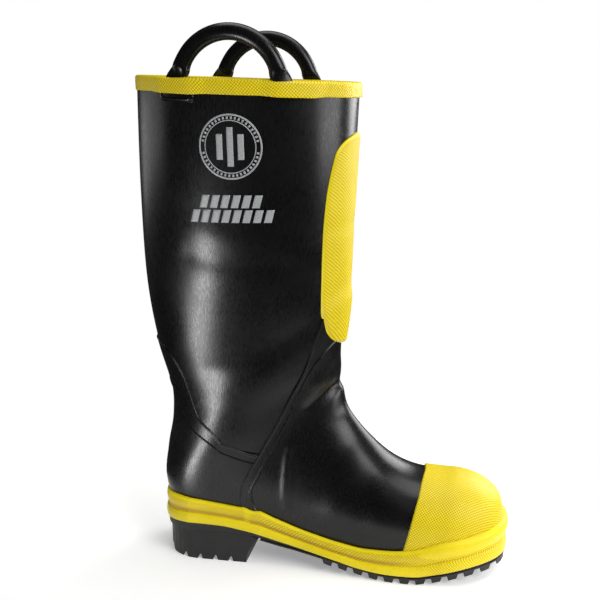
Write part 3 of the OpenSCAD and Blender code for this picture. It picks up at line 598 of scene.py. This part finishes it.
def sole_plan(d):
    """Half superellipses for heel and toe joined by the sides and moved out by d mm, from the heel round."""
    a, b = np.radians(np.arange(0, 82, 9.0)), np.radians(np.arange(0, 91, 9.0))
    r = (np.cos(a) ** HEEL_SQUARE + np.sin(a) ** HEEL_SQUARE) ** (-1 / HEEL_SQUARE)
    half = np.concatenate([
        np.stack([HEEL_MID - (HEEL_A + d) * r * np.cos(a), (HEEL_B + d) * r * np.sin(a)], 1),
        SIDE_PLAN + [0, d],
        np.stack([240 + 53.5 * np.sin(b) + (d + 0.5) * np.sin(b), (45.8 + d) * np.cos(b).clip(0) ** 0.85], 1)])
    lean = np.interp(half[:, 0], SHIFT[:, 0], SHIFT[:, 1])
    outer = np.stack([half[:, 0], lean - half[:, 1]], 1)
    inner = np.stack([half[:, 0], lean + half[:, 1]], 1)
    return np.concatenate([outer, inner[-2:0:-1]])


def round_path(knots, per):
    """A closed Catmull-Rom curve, with per points to each knot."""
    t = np.tile(np.arange(per) / per, len(knots))[:, None]
    i = np.repeat(np.arange(len(knots)), per)
    return spline(*(knots[(i + k) % len(knots)] for k in (-1, 0, 1, 2)), t)


def level(line, x):
    """Height at x, averaged over 12 mm so that the line has no corners."""
    return np.mean([np.interp(x + k, line[:, 0], line[:, 1]) for k in np.linspace(-6, 6, 9)], axis=0)


plan_line = round_path(sole_plan(0), 8)
plan_out = round_path(sole_plan(1), 8) - plan_line
round_x = plan_line[:, 0]
tread_z = level(TREAD, round_x)
wave = (0.9 * np.exp(-((round_x - JOINT_X + 4) / 3.2) ** 2)
        - 0.9 * np.exp(-((round_x - JOINT_X - 4) / 3) ** 2)
        + 0.7 * np.exp(-((round_x - JOINT_X - 11) / 3.5) ** 2))
top_z = level(TOP_EDGE, round_x) + wave
toe = smooth(208, 245, round_x)
BEAD_SHARE = 0.4
RISE = np.array([[-10, 7], [35, 7], [60, 5.5], [75, 4], [95, 3.5], [122, 2.2], [150, 1.2], [175, 0.2],
                 [195, 1], [215, 1.7], [240, 1.6], [264, 2.2], [280, 2.4], [305, 2]])
low_z = tread_z + level(RISE, round_x)
bead_z = low_z + BEAD_SHARE * (top_z - low_z)


def foxing(knots, z0, z1, per=6, bulge=0.0, steps=slice(None)):
    """Rows of the outline whose knots are [out in mm, share of the height, extra height in mm]."""
    shape = round_path(np.array(knots, float), per)
    points = np.empty((len(round_x[steps]), len(shape), 3))
    out = shape[:, 0] + bulge
    points[..., :2] = plan_line[steps][:, None] + plan_out[steps][:, None] * out[..., None]
    points[..., 2] = z0[steps, None] + (z1 - z0)[steps, None] * shape[:, 1] + shape[:, 2]
    return points, shape


joint = np.exp(-((round_x - JOINT_X) / 1.3) ** 2)[:, None]
BAND = [[-1.5, 0.1, 0], [0.5, 0, -0.6], [2.6, 0, -0.5], [3.0, 0.07, 0], [3.05, 0.17, 0], [3.5, 0.33, 0],
        [4.0, 0.52, 0], [4.05, 0.7, 0], [3.75, 0.84, 0], [3.1, 0.94, 0], [2.1, 1.0, 0], [1.0, 1.0, 0.1],
        [-0.6, 0.96, 0], [-1.5, 0.7, 0]]
shape = round_path(np.array(BAND, float), 6)
band_bulge = joint * 0.75 * smooth(0.02, 0.3, shape[:, 1]) + toe[:, None] * 0.5 * np.sin(
    np.pi * np.clip(shape[:, 1], 0, 1)) * (shape[:, 0] > 1)
points, shape = foxing(BAND, bead_z, top_z, bulge=band_bulge)
band = Shell()
# Painted shade: a darker amber band along the groove above the bead, away from the toe, given as negative point
# numbers.
groove_shade_share = np.exp(-((shape[:, 1] - 0.2) / 0.16) ** 2) * (1 - smooth(195, 235, round_x[:, None]))
band.ring(points, worn=np.clip(smooth(0.78, 0.92, shape[:, 1]) + joint - 0.95 * groove_shade_share, -1, 1))
band.piece("foxing_upper_band", yellow_rubber, "boot", ["foxing_band"])

BEAD = [[-1.5, 0.3, 0], [0.5, 0, 0.05], [3.5, 0, 0.05], [4.3, 0, 0.3], [4.75, 0.1, 0.4], [4.9, 0.35, 0.2],
        [4.75, 0.65, 0], [4.2, 0.88, 0], [3.4, 1.0, 0], [1.5, 1.0, 0.2], [-1.5, 0.8, 0]]
points, shape = foxing(BEAD, low_z, bead_z)
band = Shell()
band.ring(points, worn=np.clip(1 - toe[:, None] * 0.9 + 0 * shape[:, 1], 0, 1))
band.piece("foxing_lower_bead", yellow_rubber, "boot", ["foxing_bead"])

WALL_EDGE = [[-1.5, 0, 0.6], [2.4, 0, 0.4], [3.0, 0.05, 0.6], [3.1, 0.5, 0], [3.1, 1, 0.8], [2.4, 1, 1.2],
             [-1.5, 1, 1.2]]
points, shape = foxing(WALL_EDGE, tread_z, low_z)
side_wall = Shell()
side_wall.ring(points)
BUMPER = [[1.0, 0.15, 0], [3.2, 0.18, 0], [4.2, 0.3, 0], [5.3, 0.5, 0], [5.7, 0.68, 0], [5.2, 0.84, 0],
          [3.9, 0.95, 0], [2.4, 0.985, 0], [1.0, 0.9, 0]]
near_toe = np.flatnonzero(round_x > 214)
swell = (smooth(214, 246, round_x[near_toe])[:, None] - 1) * 2.2
points, shape = foxing(BUMPER, bead_z, top_z, bulge=swell, steps=near_toe)
band = Shell()
band.ring(points, worn=0.55 + 0.45 * smooth(0.6, 0.9, shape[:, 1]) + 0 * swell, closed=False)
band.piece("toe_bumper_ridge", yellow_rubber, "boot", ["toe_bumper"])

# ---- Outsole and heel ----
# Black nitrile tread rubber, moulded in one heat with deep lugs across the forepart and round the
# heel. It is duller than the upper, with small radii on every lug.
tread_rubber, tree, shader = material("black_tread_rubber")
dust = specks(tree, 12)
tint = blend_colour(tree, between(tree, dust, 0, 1), "#101011", "#1b1b1c")
tree.links.new(tint, shader.inputs["Base Color"])
tree.links.new(between(tree, specks(tree, 3), 0.5, 0.62), shader.inputs["Roughness"])
pebble = node(tree, "Bump", {"Height": specks(tree, 0.9), "Strength": 0.5, "Distance": 0.00008})
tree.links.new(pebble.outputs[0], shader.inputs["Normal"])


def softened(cad_node, name, finish, radius, segments=2):
    """The node's own shape with its triangles joined, flat faces merged and edges rounded."""
    shape = bmesh.new()
    shape.from_mesh(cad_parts[cad_node].data)
    bmesh.ops.remove_doubles(shape, verts=shape.verts, dist=1e-6)
    bmesh.ops.dissolve_limit(shape, angle_limit=np.radians(1), verts=shape.verts, edges=shape.edges)
    mesh = bpy.data.meshes.new(name)
    shape.to_mesh(mesh)
    shape.free()
    mesh.materials.clear()
    mesh.materials.append(finish)
    made = bpy.data.objects.new(name, mesh)
    bpy.context.scene.collection.objects.link(made)
    bevel = made.modifiers.new("edges", "BEVEL")
    bevel.width, bevel.segments, bevel.limit_method = radius, segments, "ANGLE"
    bevel.angle_limit = np.radians(35)
    bevel.harden_normals = True
    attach(made, "boot")
    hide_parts(cad_node)
    return made


side_wall.piece("outsole_side_wall", tread_rubber, "boot")
softened("outsole", "outsole_tread", tread_rubber, 0.0006)
softened("heel_block", "heel_tread", tread_rubber, 0.0008)

# ---- Pull loops and their anchors ----
# Two moulded rubber loops. Each foot flattens into a tab that is cemented to the collar under the
# tape, and the end of the tab shows below it. The loop bends in and out just above the collar.
ANCHORS = (0.158, 0.325)
LOOP_R, LOOP_DROP, LOOP_X, LOOP_Y = 38.5, 12.9, 79.75, 60.5
FOOT_FRONT, FOOT_REAR = 119.5, 38.5
rim_front, rim_back = skin(COLLAR, 0), skin(COLLAR, 0.5)
slope = (rim_back[2] - rim_front[2]) / (rim_front[0] - rim_back[0])
tilt = np.arctan(slope)
hinge_z = rim_back[2] - slope * (LOOP_X - rim_back[0]) + 8.4
level_way = np.array([np.cos(tilt), 0, -np.sin(tilt)])
upright = np.array([np.sin(tilt), 0, np.cos(tilt)])


def loop_tube(side):
    """An oval section carried along a half circle whose two feet run down to the collar and flatten."""
    hinge = np.array([LOOP_X, side * LOOP_Y, hinge_z])
    turns = np.linspace(np.radians(14), np.radians(166), 25)[:, None]
    arch = hinge - LOOP_DROP * upright + LOOP_R * (np.cos(turns) * level_way + np.sin(turns) * upright)
    feet = []
    half = np.linspace(0.05, 0.45, 200)
    for v in np.interp((-FOOT_FRONT, -FOOT_REAR), -skin(COLLAR, half)[:, 0], half):
        v = v if side < 0 else 1 - v
        feet.append([rim(v, 2.1, -1.5), rim(v, 1.7, -5), rim(v, 1.5, -8)])
    knots = np.concatenate([np.array(feet[0])[::-1], arch, np.array(feet[1])])
    centre = path(knots, 150)
    along = np.gradient(centre, axis=0)
    along = along / np.linalg.norm(along, axis=1, keepdims=True)
    above = centre[:, 2] - (rim_back[2] - slope * (centre[:, 0] - rim_back[0]))
    near = np.where(centre[:, :1] > LOOP_X, *(outward(float(COLLAR), v if side < 0 else 1 - v) * [1, 1, 0]
                                              for v in ANCHORS))
    facing = np.array([0, side, 0]) + (near - [0, side, 0]) * (1 - smooth(-1, 16, above))[:, None]
    outwards = facing - along * (along * facing).sum(1)[:, None]
    outwards = outwards / np.linalg.norm(outwards, axis=1, keepdims=True)
    wide_way = np.cross(along, outwards)
    wide = (6.2 + 1.5 * (1 - smooth(-2, 14, above)))[:, None]
    thick = (1.9 + 3.6 * smooth(-2, 9, above))[:, None]
    a = np.arange(36) * 2 * np.pi / 36
    across, out = power(np.cos(a), 0.9), power(np.sin(a), 0.9)
    return (centre[:, None] + wide_way[:, None] * (wide * across)[..., None]
            + outwards[:, None] * (thick * out)[..., None])


def rim(v, d, h):
    """A point beside the collar: v round it, d mm outside the skin and h above the rim."""
    v = np.asarray(v, float)
    return place(np.full(v.shape, float(COLLAR)), v, d) + np.stack([0 * v, 0 * v, h + 0 * v], -1)


for side, name, stands_for, body in ((-1, "pull_loop_outer_moulding", "pull_loop_outer", "outer_loop"),
                                     (1, "pull_loop_inner_moulding", "pull_loop_inner", "inner_loop")):
    loop = Shell()
    loop.ring(loop_tube(side), closed=False)
    made = loop.piece(name, rubber, None, [stands_for], inside_out=side < 0)
    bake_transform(made)

for side, name, stands_for in ((-1, "loop_anchor_outer_tabs", "loop_anchor_outer"),
                               (1, "loop_anchor_inner_tabs", "loop_anchor_inner")):
    tabs = Shell()
    for v_mid, tab in zip(ANCHORS, (9.0, 17.3)):
        share = np.sin(np.linspace(-np.pi / 2, np.pi / 2, 41))
        low = np.linspace(0, 1, 31)[:, None] ** 1.3
        v = (v_mid + 0.029 * share) * np.ones((31, 1))
        drop = -tab + (tab - 2.3) * low * np.ones((1, 41))
        v = v if side < 0 else 1 - v
        surface = rim(v, 0 * v, drop)
        corner = np.hypot(np.clip(4.5 - (1 - np.abs(share)) * 12, 0, 4.5), np.clip(4.5 - (drop + tab), 0, 4.5))
        edge = 4.5 - corner
        rise = np.sqrt(np.clip(1 - (1 - np.clip(edge / 1.8, 0, 1)) ** 2, 0, 1))
        lipped = 0.35 * np.exp(-((edge - 2.2) / 0.8) ** 2)
        tabs.plate(rim(v, -0.8 + 2.7 * rise + lipped, drop), rim(v, 0 * v - 1.4, drop))
    tabs.piece(name, rubber, "boot", [stands_for], inside_out=side > 0)

# ---- Collar tape and inner binding ----
# Yellow rubberised tape folded over the raw rim and pressed down, with a coarse check. It bulges
# over the feet of the loops. Inside, a dark woven binding covers the top of the felt.
tape_turn = np.arange(420) / 420
bulge = sum((1 - smooth(0.020, 0.052, np.abs(fold(tape_turn) - a))) for a in ANCHORS)
sag = 0.9 * bulge + 0.25 * np.sin(tape_turn * 2 * np.pi * 5)
FELT = 3.2
TAPE = [[0.0, -10.2, 1], [0.8, -10.1, 1], [1.1, -9.2, 1], [1.2, -5, 1], [1.2, -1.8, 1], [1.0, -0.4, 1],
        [0.4, 0.6, 0.8], [-0.8, 1.1, 0.2], [-3, 1.2, 0], [-5.2, 1.1, 0], [-6.1, 0.7, 0], [-6.4, 0.1, 0],
        [-5.6, -0.3, 0], [-2.5, -0.2, 0], [-0.4, -0.6, 0.3], [-0.3, -2.5, 0.3], [-0.3, -6, 0.3],
        [-0.3, -9, 0.3]]
shape = round_path(np.array(TAPE, float), 4)
reach = LAYER_GAP + shape[:, 0] + bulge[:, None] * shape[:, 2] * 3.1
tall = shape[:, 1] * (1 + 0 * bulge[:, None]) - np.where(shape[:, 1] < -7, 1, 0) * sag[:, None]
tape = Shell()
tape.ring(rim(tape_turn[:, None] + 0 * reach, reach, tall), worn=0.0)
tape.piece("collar_tape_band", yellow_rubber, "boot", ["collar_tape"], inside_out=True)

woven_binding, tree, shader = material("black_woven_binding")
lay = node(tree, "UVMap", uv_map="lay").outputs[0]
scaled = node(tree, "Mapping", {"Vector": lay, "Scale": (np.pi / 0.9, np.pi / 0.9, 1)})
parts = node(tree, "SeparateXYZ", {"Vector": scaled.outputs[0]})
waves = [node(tree, "Math", {0: parts.outputs[k]}, operation="SINE").outputs[0] for k in (0, 1)]
weave = node(tree, "Math", {0: waves[0], 1: waves[1]}, operation="MULTIPLY").outputs[0]
weave = node(tree, "MapRange", {"Value": weave, "From Min": -1.0, "From Max": 1.0}).outputs[0]
paint(tree, shader, weave, "#1c1b1a", "#3a3835")
shader.inputs["Roughness"].default_value = 0.8
thread_bump = node(tree, "Bump", {"Height": weave, "Strength": 0.7, "Distance": 0.0002})
tree.links.new(thread_bump.outputs[0], shader.inputs["Normal"])
BINDING = [[-1.3, -9.2], [-0.2, -9.2], [0.1, -8.6], [0.1, -4], [0.1, -0.3], [-0.2, 0.15], [-1.1, 0.2],
           [-1.4, -0.3], [-1.5, -4], [-1.5, -8.7]]
shape = round_path(np.array(BINDING, float), 4)
inner_face = -WALL - FELT - 0.9 - LAYER_GAP
reach = inner_face + shape[:, 0] + 0 * tape_turn[:, None]
binding = Shell()
binding.ring(rim(tape_turn[:, None] + 0 * reach, reach, shape[:, 1] + 0 * reach))
binding.piece("lining_edge_binding", woven_binding, "boot", ["lining_binding"], inside_out=True)

# ---- Linings and stiffening layers ----
# Inside the rubber lie the steel cap and its rubber strip, felt insulation over the vamp, a fibre
# heel stiffener, closed-cell foam at the shin, and a needled wool felt lining in three parts.
wool_felt, tree, shader = material("needled_wool_felt")
fibres = specks(tree, 0.9, (1, 1, 3), 5.0)
tint = blend_colour(tree, between(tree, fibres, 0, 1), "#a39d8e", "#cfcabc")
tint = blend_colour(tree, between(tree, specks(tree, 18), 0, 0.4), tint, "#948d7c")
tree.links.new(tint, shader.inputs["Base Color"])
shader.inputs["Roughness"].default_value = 0.95
shader.inputs["Sheen Weight"].default_value = 0.35
fuzz = node(tree, "Bump", {"Height": fibres, "Strength": 0.8, "Distance": 0.0004})
tree.links.new(fuzz.outputs[0], shader.inputs["Normal"])

cell_foam, tree, shader = material("closed_cell_foam")
cells = node(tree, "TexVoronoi", {"Vector": node(tree, "TexCoord").outputs["Object"], "Scale": 900.0}).outputs[0]
paint(tree, shader, cells, "#6d7074", "#4b4e52")
shader.inputs["Roughness"].default_value = 0.85
dent(tree, shader, cells, 0.5, 0.0003)

forged_steel, tree, shader = material("pressed_steel")
brush = specks(tree, 0.8, (12, 1, 1))
paint(tree, shader, between(tree, brush, 0, 1), "#8f9499", "#aeb3b7")
shader.inputs["Metallic"].default_value = 1.0
tree.links.new(between(tree, brush, 0.28, 0.42), shader.inputs["Roughness"])
dent(tree, shader, brush, 0.3, 0.00004)

fibre_board, tree, shader = material("pressed_fibre_board")
flecks = specks(tree, 1.5, (1, 3, 1), 6.0)
paint(tree, shader, between(tree, flecks, 0, 1), "#7a6b4d", "#9c8c69")
shader.inputs["Roughness"].default_value = 0.8
dent(tree, shader, flecks, 0.5, 0.0002)

INNER = -(WALL + LAYER_GAP)
STIFF_T, CAP_T, PAD_T, CAP_S, CAP_V, PAD_V = 1.9, 1.7, 3.0, 5.4, 0.35, 0.1
FOOT_LAYERS = max(STIFF_T, CAP_T) + LAYER_GAP
LINING_SPLIT, LINING_TOP = 9.55, 12.55
LINING_SEAT = np.array([[0, LINING_SPLIT], [0.325, LINING_SPLIT], [0.36, 9.9], [0.4, 10.8], [0.45, 11.05],
                        [0.5, 11.1]])


def lining_depth(s, v):
    """The felt's outer face: it steps in over the foot's layers and over the shin's foam."""
    return (INNER - FOOT_LAYERS * (1 - smooth(12.6, 14.2, s))
            - (PAD_T + LAYER_GAP) * (1 - smooth(PAD_V + 0.01, PAD_V + 0.07, fold(v)))
            * smooth(14.1, 14.6, s) * (1 - smooth(18.1, 18.6, s)))


def layer(name, low, high, v, rows, top, thickness, finish, stands_for, around=False, tip=False):
    """One layer: a grid between two stations, from its outer face inwards by its thickness."""
    s, v = rows_between(low, high, rows, v)
    face = top(s, v) if callable(top) else np.full(s.shape, float(top))
    sheet = Shell()
    sheet.plate(place(s, v, face), place(s, v, face - thickness), around=around, tip=tip)
    return sheet.piece(name, finish, "boot", [stands_for])


turn = np.arange(160) / 160
layer("leg_felt", 0 * turn + LINING_TOP + SEAM_GAP, COLLAR - 0.02, turn, 110, lining_depth, FELT, wool_felt,
      "leg_lining", around=True)
layer("heel_felt", at_v(LINING_SEAT, turn) + SEAM_GAP, LINING_TOP - SEAM_GAP, turn, 50, lining_depth, FELT,
      wool_felt, "heel_lining", around=True)
wide = np.linspace(-0.325, 0.325, 100)
layer("vamp_felt", 0 * wide, LINING_SPLIT - SEAM_GAP + 0 * wide, wide, 80, lining_depth, FELT, wool_felt,
      "vamp_lining", tip=True)
cap_v = np.linspace(-CAP_V, CAP_V, 100)
layer("steel_cap_shell", 0 * cap_v, CAP_S + 0 * cap_v, cap_v, 60, INNER, CAP_T, forged_steel,
      "steel_toe_cap", tip=True)
layer("cap_edge_strip", 0 * cap_v + CAP_S + SEAM_GAP, CAP_S + 0.35, cap_v, 6, INNER,
      STIFF_T - 0.15, tread_rubber, "toe_cap_strip")
layer("vamp_insulation_felt", 0 * cap_v + CAP_S + 0.4,
      np.minimum(12.3, at_v(FRONT_SEAM, cap_v) - 0.15), cap_v, 70,
      INNER, STIFF_T, wool_felt, "vamp_insulation")
back_v = np.linspace(0.25, 0.75, 80)
low, high = at_v(SEAT, back_v) + SEAM_GAP, at_v(BACK_SEAM, back_v) - SEAM_GAP
layer("heel_stiffener_board", low + (high - low) * 3 / 17, low + (high - low) * 7 / 17, back_v, 30, INNER,
      STIFF_T - 0.3, fibre_board, "heel_stiffener")
pad_v = np.linspace(-PAD_V, PAD_V, 40)
foam = layer("shin_foam_pad", 0 * pad_v + 14.7, 18.0, pad_v, 60, INNER, PAD_T, cell_foam, "shin_foam")

# ---- Inside the sole ----
# A rubber filler round the ladder shank, the steel plate against nails, the fibre insole board,
# and the loose footbed of moulded foam on top.
bed_foam, tree, shader = material("moulded_footbed_foam")
knap = specks(tree, 1.1)
paint(tree, shader, between(tree, knap, 0, 1), "#3f4247", "#565a60")
shader.inputs["Roughness"].default_value = 0.9
shader.inputs["Sheen Weight"].default_value = 0.2
dent(tree, shader, knap, 0.6, 0.0003)
softened("footbed", "footbed_insert", bed_foam, 0.0018, 4)
softened("insole_board", "insole_board_sheet", fibre_board, 0.0004)
softened("puncture_plate", "puncture_plate_sheet", forged_steel, 0.0002)
softened("ladder_shank", "ladder_shank_pressing", forged_steel, 0.0002)
softened("midsole_filler", "midsole_filler_slab", tread_rubber, 0.0004)

# ---- Printed marks ----
# Silver-grey ink, screen printed on the cured leg and slightly raised: two plain rings with ticks
# between them, three upright bars, and two rows of slanted blocks. They stand for no maker.
silver_ink, tree, shader = material("silver_grey_ink")
wear_and_shade = specks(tree, 0.9)
paint(tree, shader, between(tree, wear_and_shade, 0, 0.8), "#b4b6b8", "#8f9194")
shader.inputs["Roughness"].default_value = 0.5
shader.inputs["Metallic"].default_value = 0.15
dent(tree, shader, wear_and_shade, 0.3, 0.00003)


def on_skin(x, z):
    """The stations s and v of the outer side's points at x and z, found by Newton's steps on the skin."""
    s, v = np.full(x.shape, 18.2), np.full(x.shape, 0.245)
    for _ in range(9):
        p = skin(s, v)
        ds, dv = (skin(s + 0.01, v) - p) / 0.01, (skin(s, v + 0.001) - p) / 0.001
        ex, ez = x - p[..., 0], z - p[..., 2]
        det = ds[..., 0] * dv[..., 2] - ds[..., 2] * dv[..., 0]
        s = s + (ex * dv[..., 2] - ez * dv[..., 0]) / det
        v = v + (ez * ds[..., 0] - ex * ds[..., 2]) / det
    return s, v


def print_on(shell, x, z, around=False):
    """Adds one printed shape from a grid of x and z in mm."""
    s, v = on_skin(x, z)
    lift = relief(s, v)
    shell.plate(place(s, v, lift + 0.14), place(s, v, lift - 0.1), around=around)


RING_X, RING_Z, RING_R = 79.5, 357.7, 24.3
TICKS, TICK_GAP = 44, 22
BLOCK_PITCH, BLOCK_HALF, BLOCK_LEAN, BLOCK_H = 8.2, 2.9, 2.8, 9.8
marks = Shell()
angle = np.arange(120)[None] * 2 * np.pi / 120
for inner_r, outer_r in ((RING_R - 1.3, RING_R), (RING_R - 5.2, RING_R - 4.5)):
    radius = np.linspace(inner_r, outer_r, 3)[:, None]
    print_on(marks, RING_X + radius * np.cos(angle), RING_Z + radius * np.sin(angle), around=True)
for offset, tall in ((-8.2, 9.5), (0, 14.5), (8.2, 9.5)):
    across, high = np.meshgrid(np.linspace(-2.4, 2.4, 5), np.linspace(-1, 1, 12))
    print_on(marks, RING_X + offset + across, RING_Z + tall * high)
for k in range(TICKS):
    if k % TICK_GAP not in (0, TICK_GAP - 1):
        a, r = np.meshgrid(np.linspace(-0.035, 0.035, 3), np.linspace(20.4, 22.4, 4))
        a = a + (k + 0.5) * 2 * np.pi / TICKS
        print_on(marks, RING_X + r * np.cos(a), RING_Z + r * np.sin(a))
for first, z, count in ((56, 311.8, 6), (48, 300.4, 8)):
    for k in range(count):
        across, high = np.meshgrid(np.linspace(-BLOCK_HALF, BLOCK_HALF, 5), np.linspace(0, 1, 8))
        print_on(marks, first + BLOCK_PITCH * k + across + BLOCK_LEAN * high, z + BLOCK_H * high)
marks.piece("printed_marks", silver_ink, "boot")

# ---- Studio ----
# A small disc of white paper for a floor. A key box stands at the front right, with a low card at
# the front left, a narrow strip at each side, and boxes behind and overhead. The camera sees white.
paper, tree, shader = material("white_paper")
paint(tree, shader, specks(tree, 400), "#f4f4f3", "#fbfbfa")
shader.inputs["Roughness"].default_value = 0.9
shader.inputs["Emission Color"].default_value = (1, 1, 1, 1)
shader.inputs["Emission Strength"].default_value = 0.3
FLOOR_R, FLOOR_SIDES = 0.27, 128
edge = np.arange(FLOOR_SIDES) * 2 * np.pi / FLOOR_SIDES
floor_points = np.stack([FLOOR_R * np.cos(edge), FLOOR_R * np.sin(edge), 0 * edge], 1)
floor_mesh = bpy.data.meshes.new("floor")
floor_mesh.from_pydata(floor_points.tolist(), [], [list(range(FLOOR_SIDES))])
floor_mesh.materials.append(paper)
floor = bpy.data.objects.new("floor", floor_mesh)
bpy.context.scene.collection.objects.link(floor)
floor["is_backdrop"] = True


def soft_box(name, place_at, aim, wide, tall, watts):
    """A rectangular light turned towards a point."""
    data = bpy.data.lights.new(name, "AREA")
    data.shape, data.size, data.size_y, data.energy = "RECTANGLE", wide, tall, watts
    lamp = bpy.data.objects.new(name, data)
    bpy.context.scene.collection.objects.link(lamp)
    way = (Vector(aim) - Vector(place_at)).normalized()
    lamp.matrix_world = Matrix.Translation(place_at) @ way.to_track_quat("-Z", "Z").to_matrix().to_4x4()
    return lamp


soft_box("key_box", (1.25, -0.95, 1.1), (0.05, 0, 0.2), 1.2, 0.9, 22)
soft_box("low_left_card", (-0.66, -0.78, -0.27), (-0.05, 0, 0.13), 0.48, 0.2, 6.8)
soft_box("left_strip", (-1.25, 0.1, 0.3), (0, 0, 0.2), 0.25, 1.1, 1.3)
soft_box("right_strip", (1.22, -0.15, 0.25), (0.05, 0, 0.3), 0.3, 0.8, 5)
soft_box("back_box", (0.85, 1.0, 0.6), (0.05, 0, 0.15), 0.9, 0.9, 16)
soft_box("overhead_box", (0.1, 0.1, 1.75), (0, 0, 0), 1.5, 1.2, 19)

world = bpy.data.worlds.new("studio")
bpy.context.scene.world = world
world.use_nodes = True
tree = world.node_tree
tree.nodes.clear()
seen = node(tree, "Background", {"Color": (1, 1, 1, 1), "Strength": 1.0})
lit = node(tree, "Background", {"Color": (1, 1, 1, 1), "Strength": 0.03})
way = node(tree, "LightPath")
both = node(tree, "MixShader", {0: way.outputs["Is Camera Ray"], 1: lit.outputs[0], 2: seen.outputs[0]})
node(tree, "OutputWorld", {"Surface": both.outputs[0]})
bpy.context.scene.view_settings.view_transform = "Standard"

low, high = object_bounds()
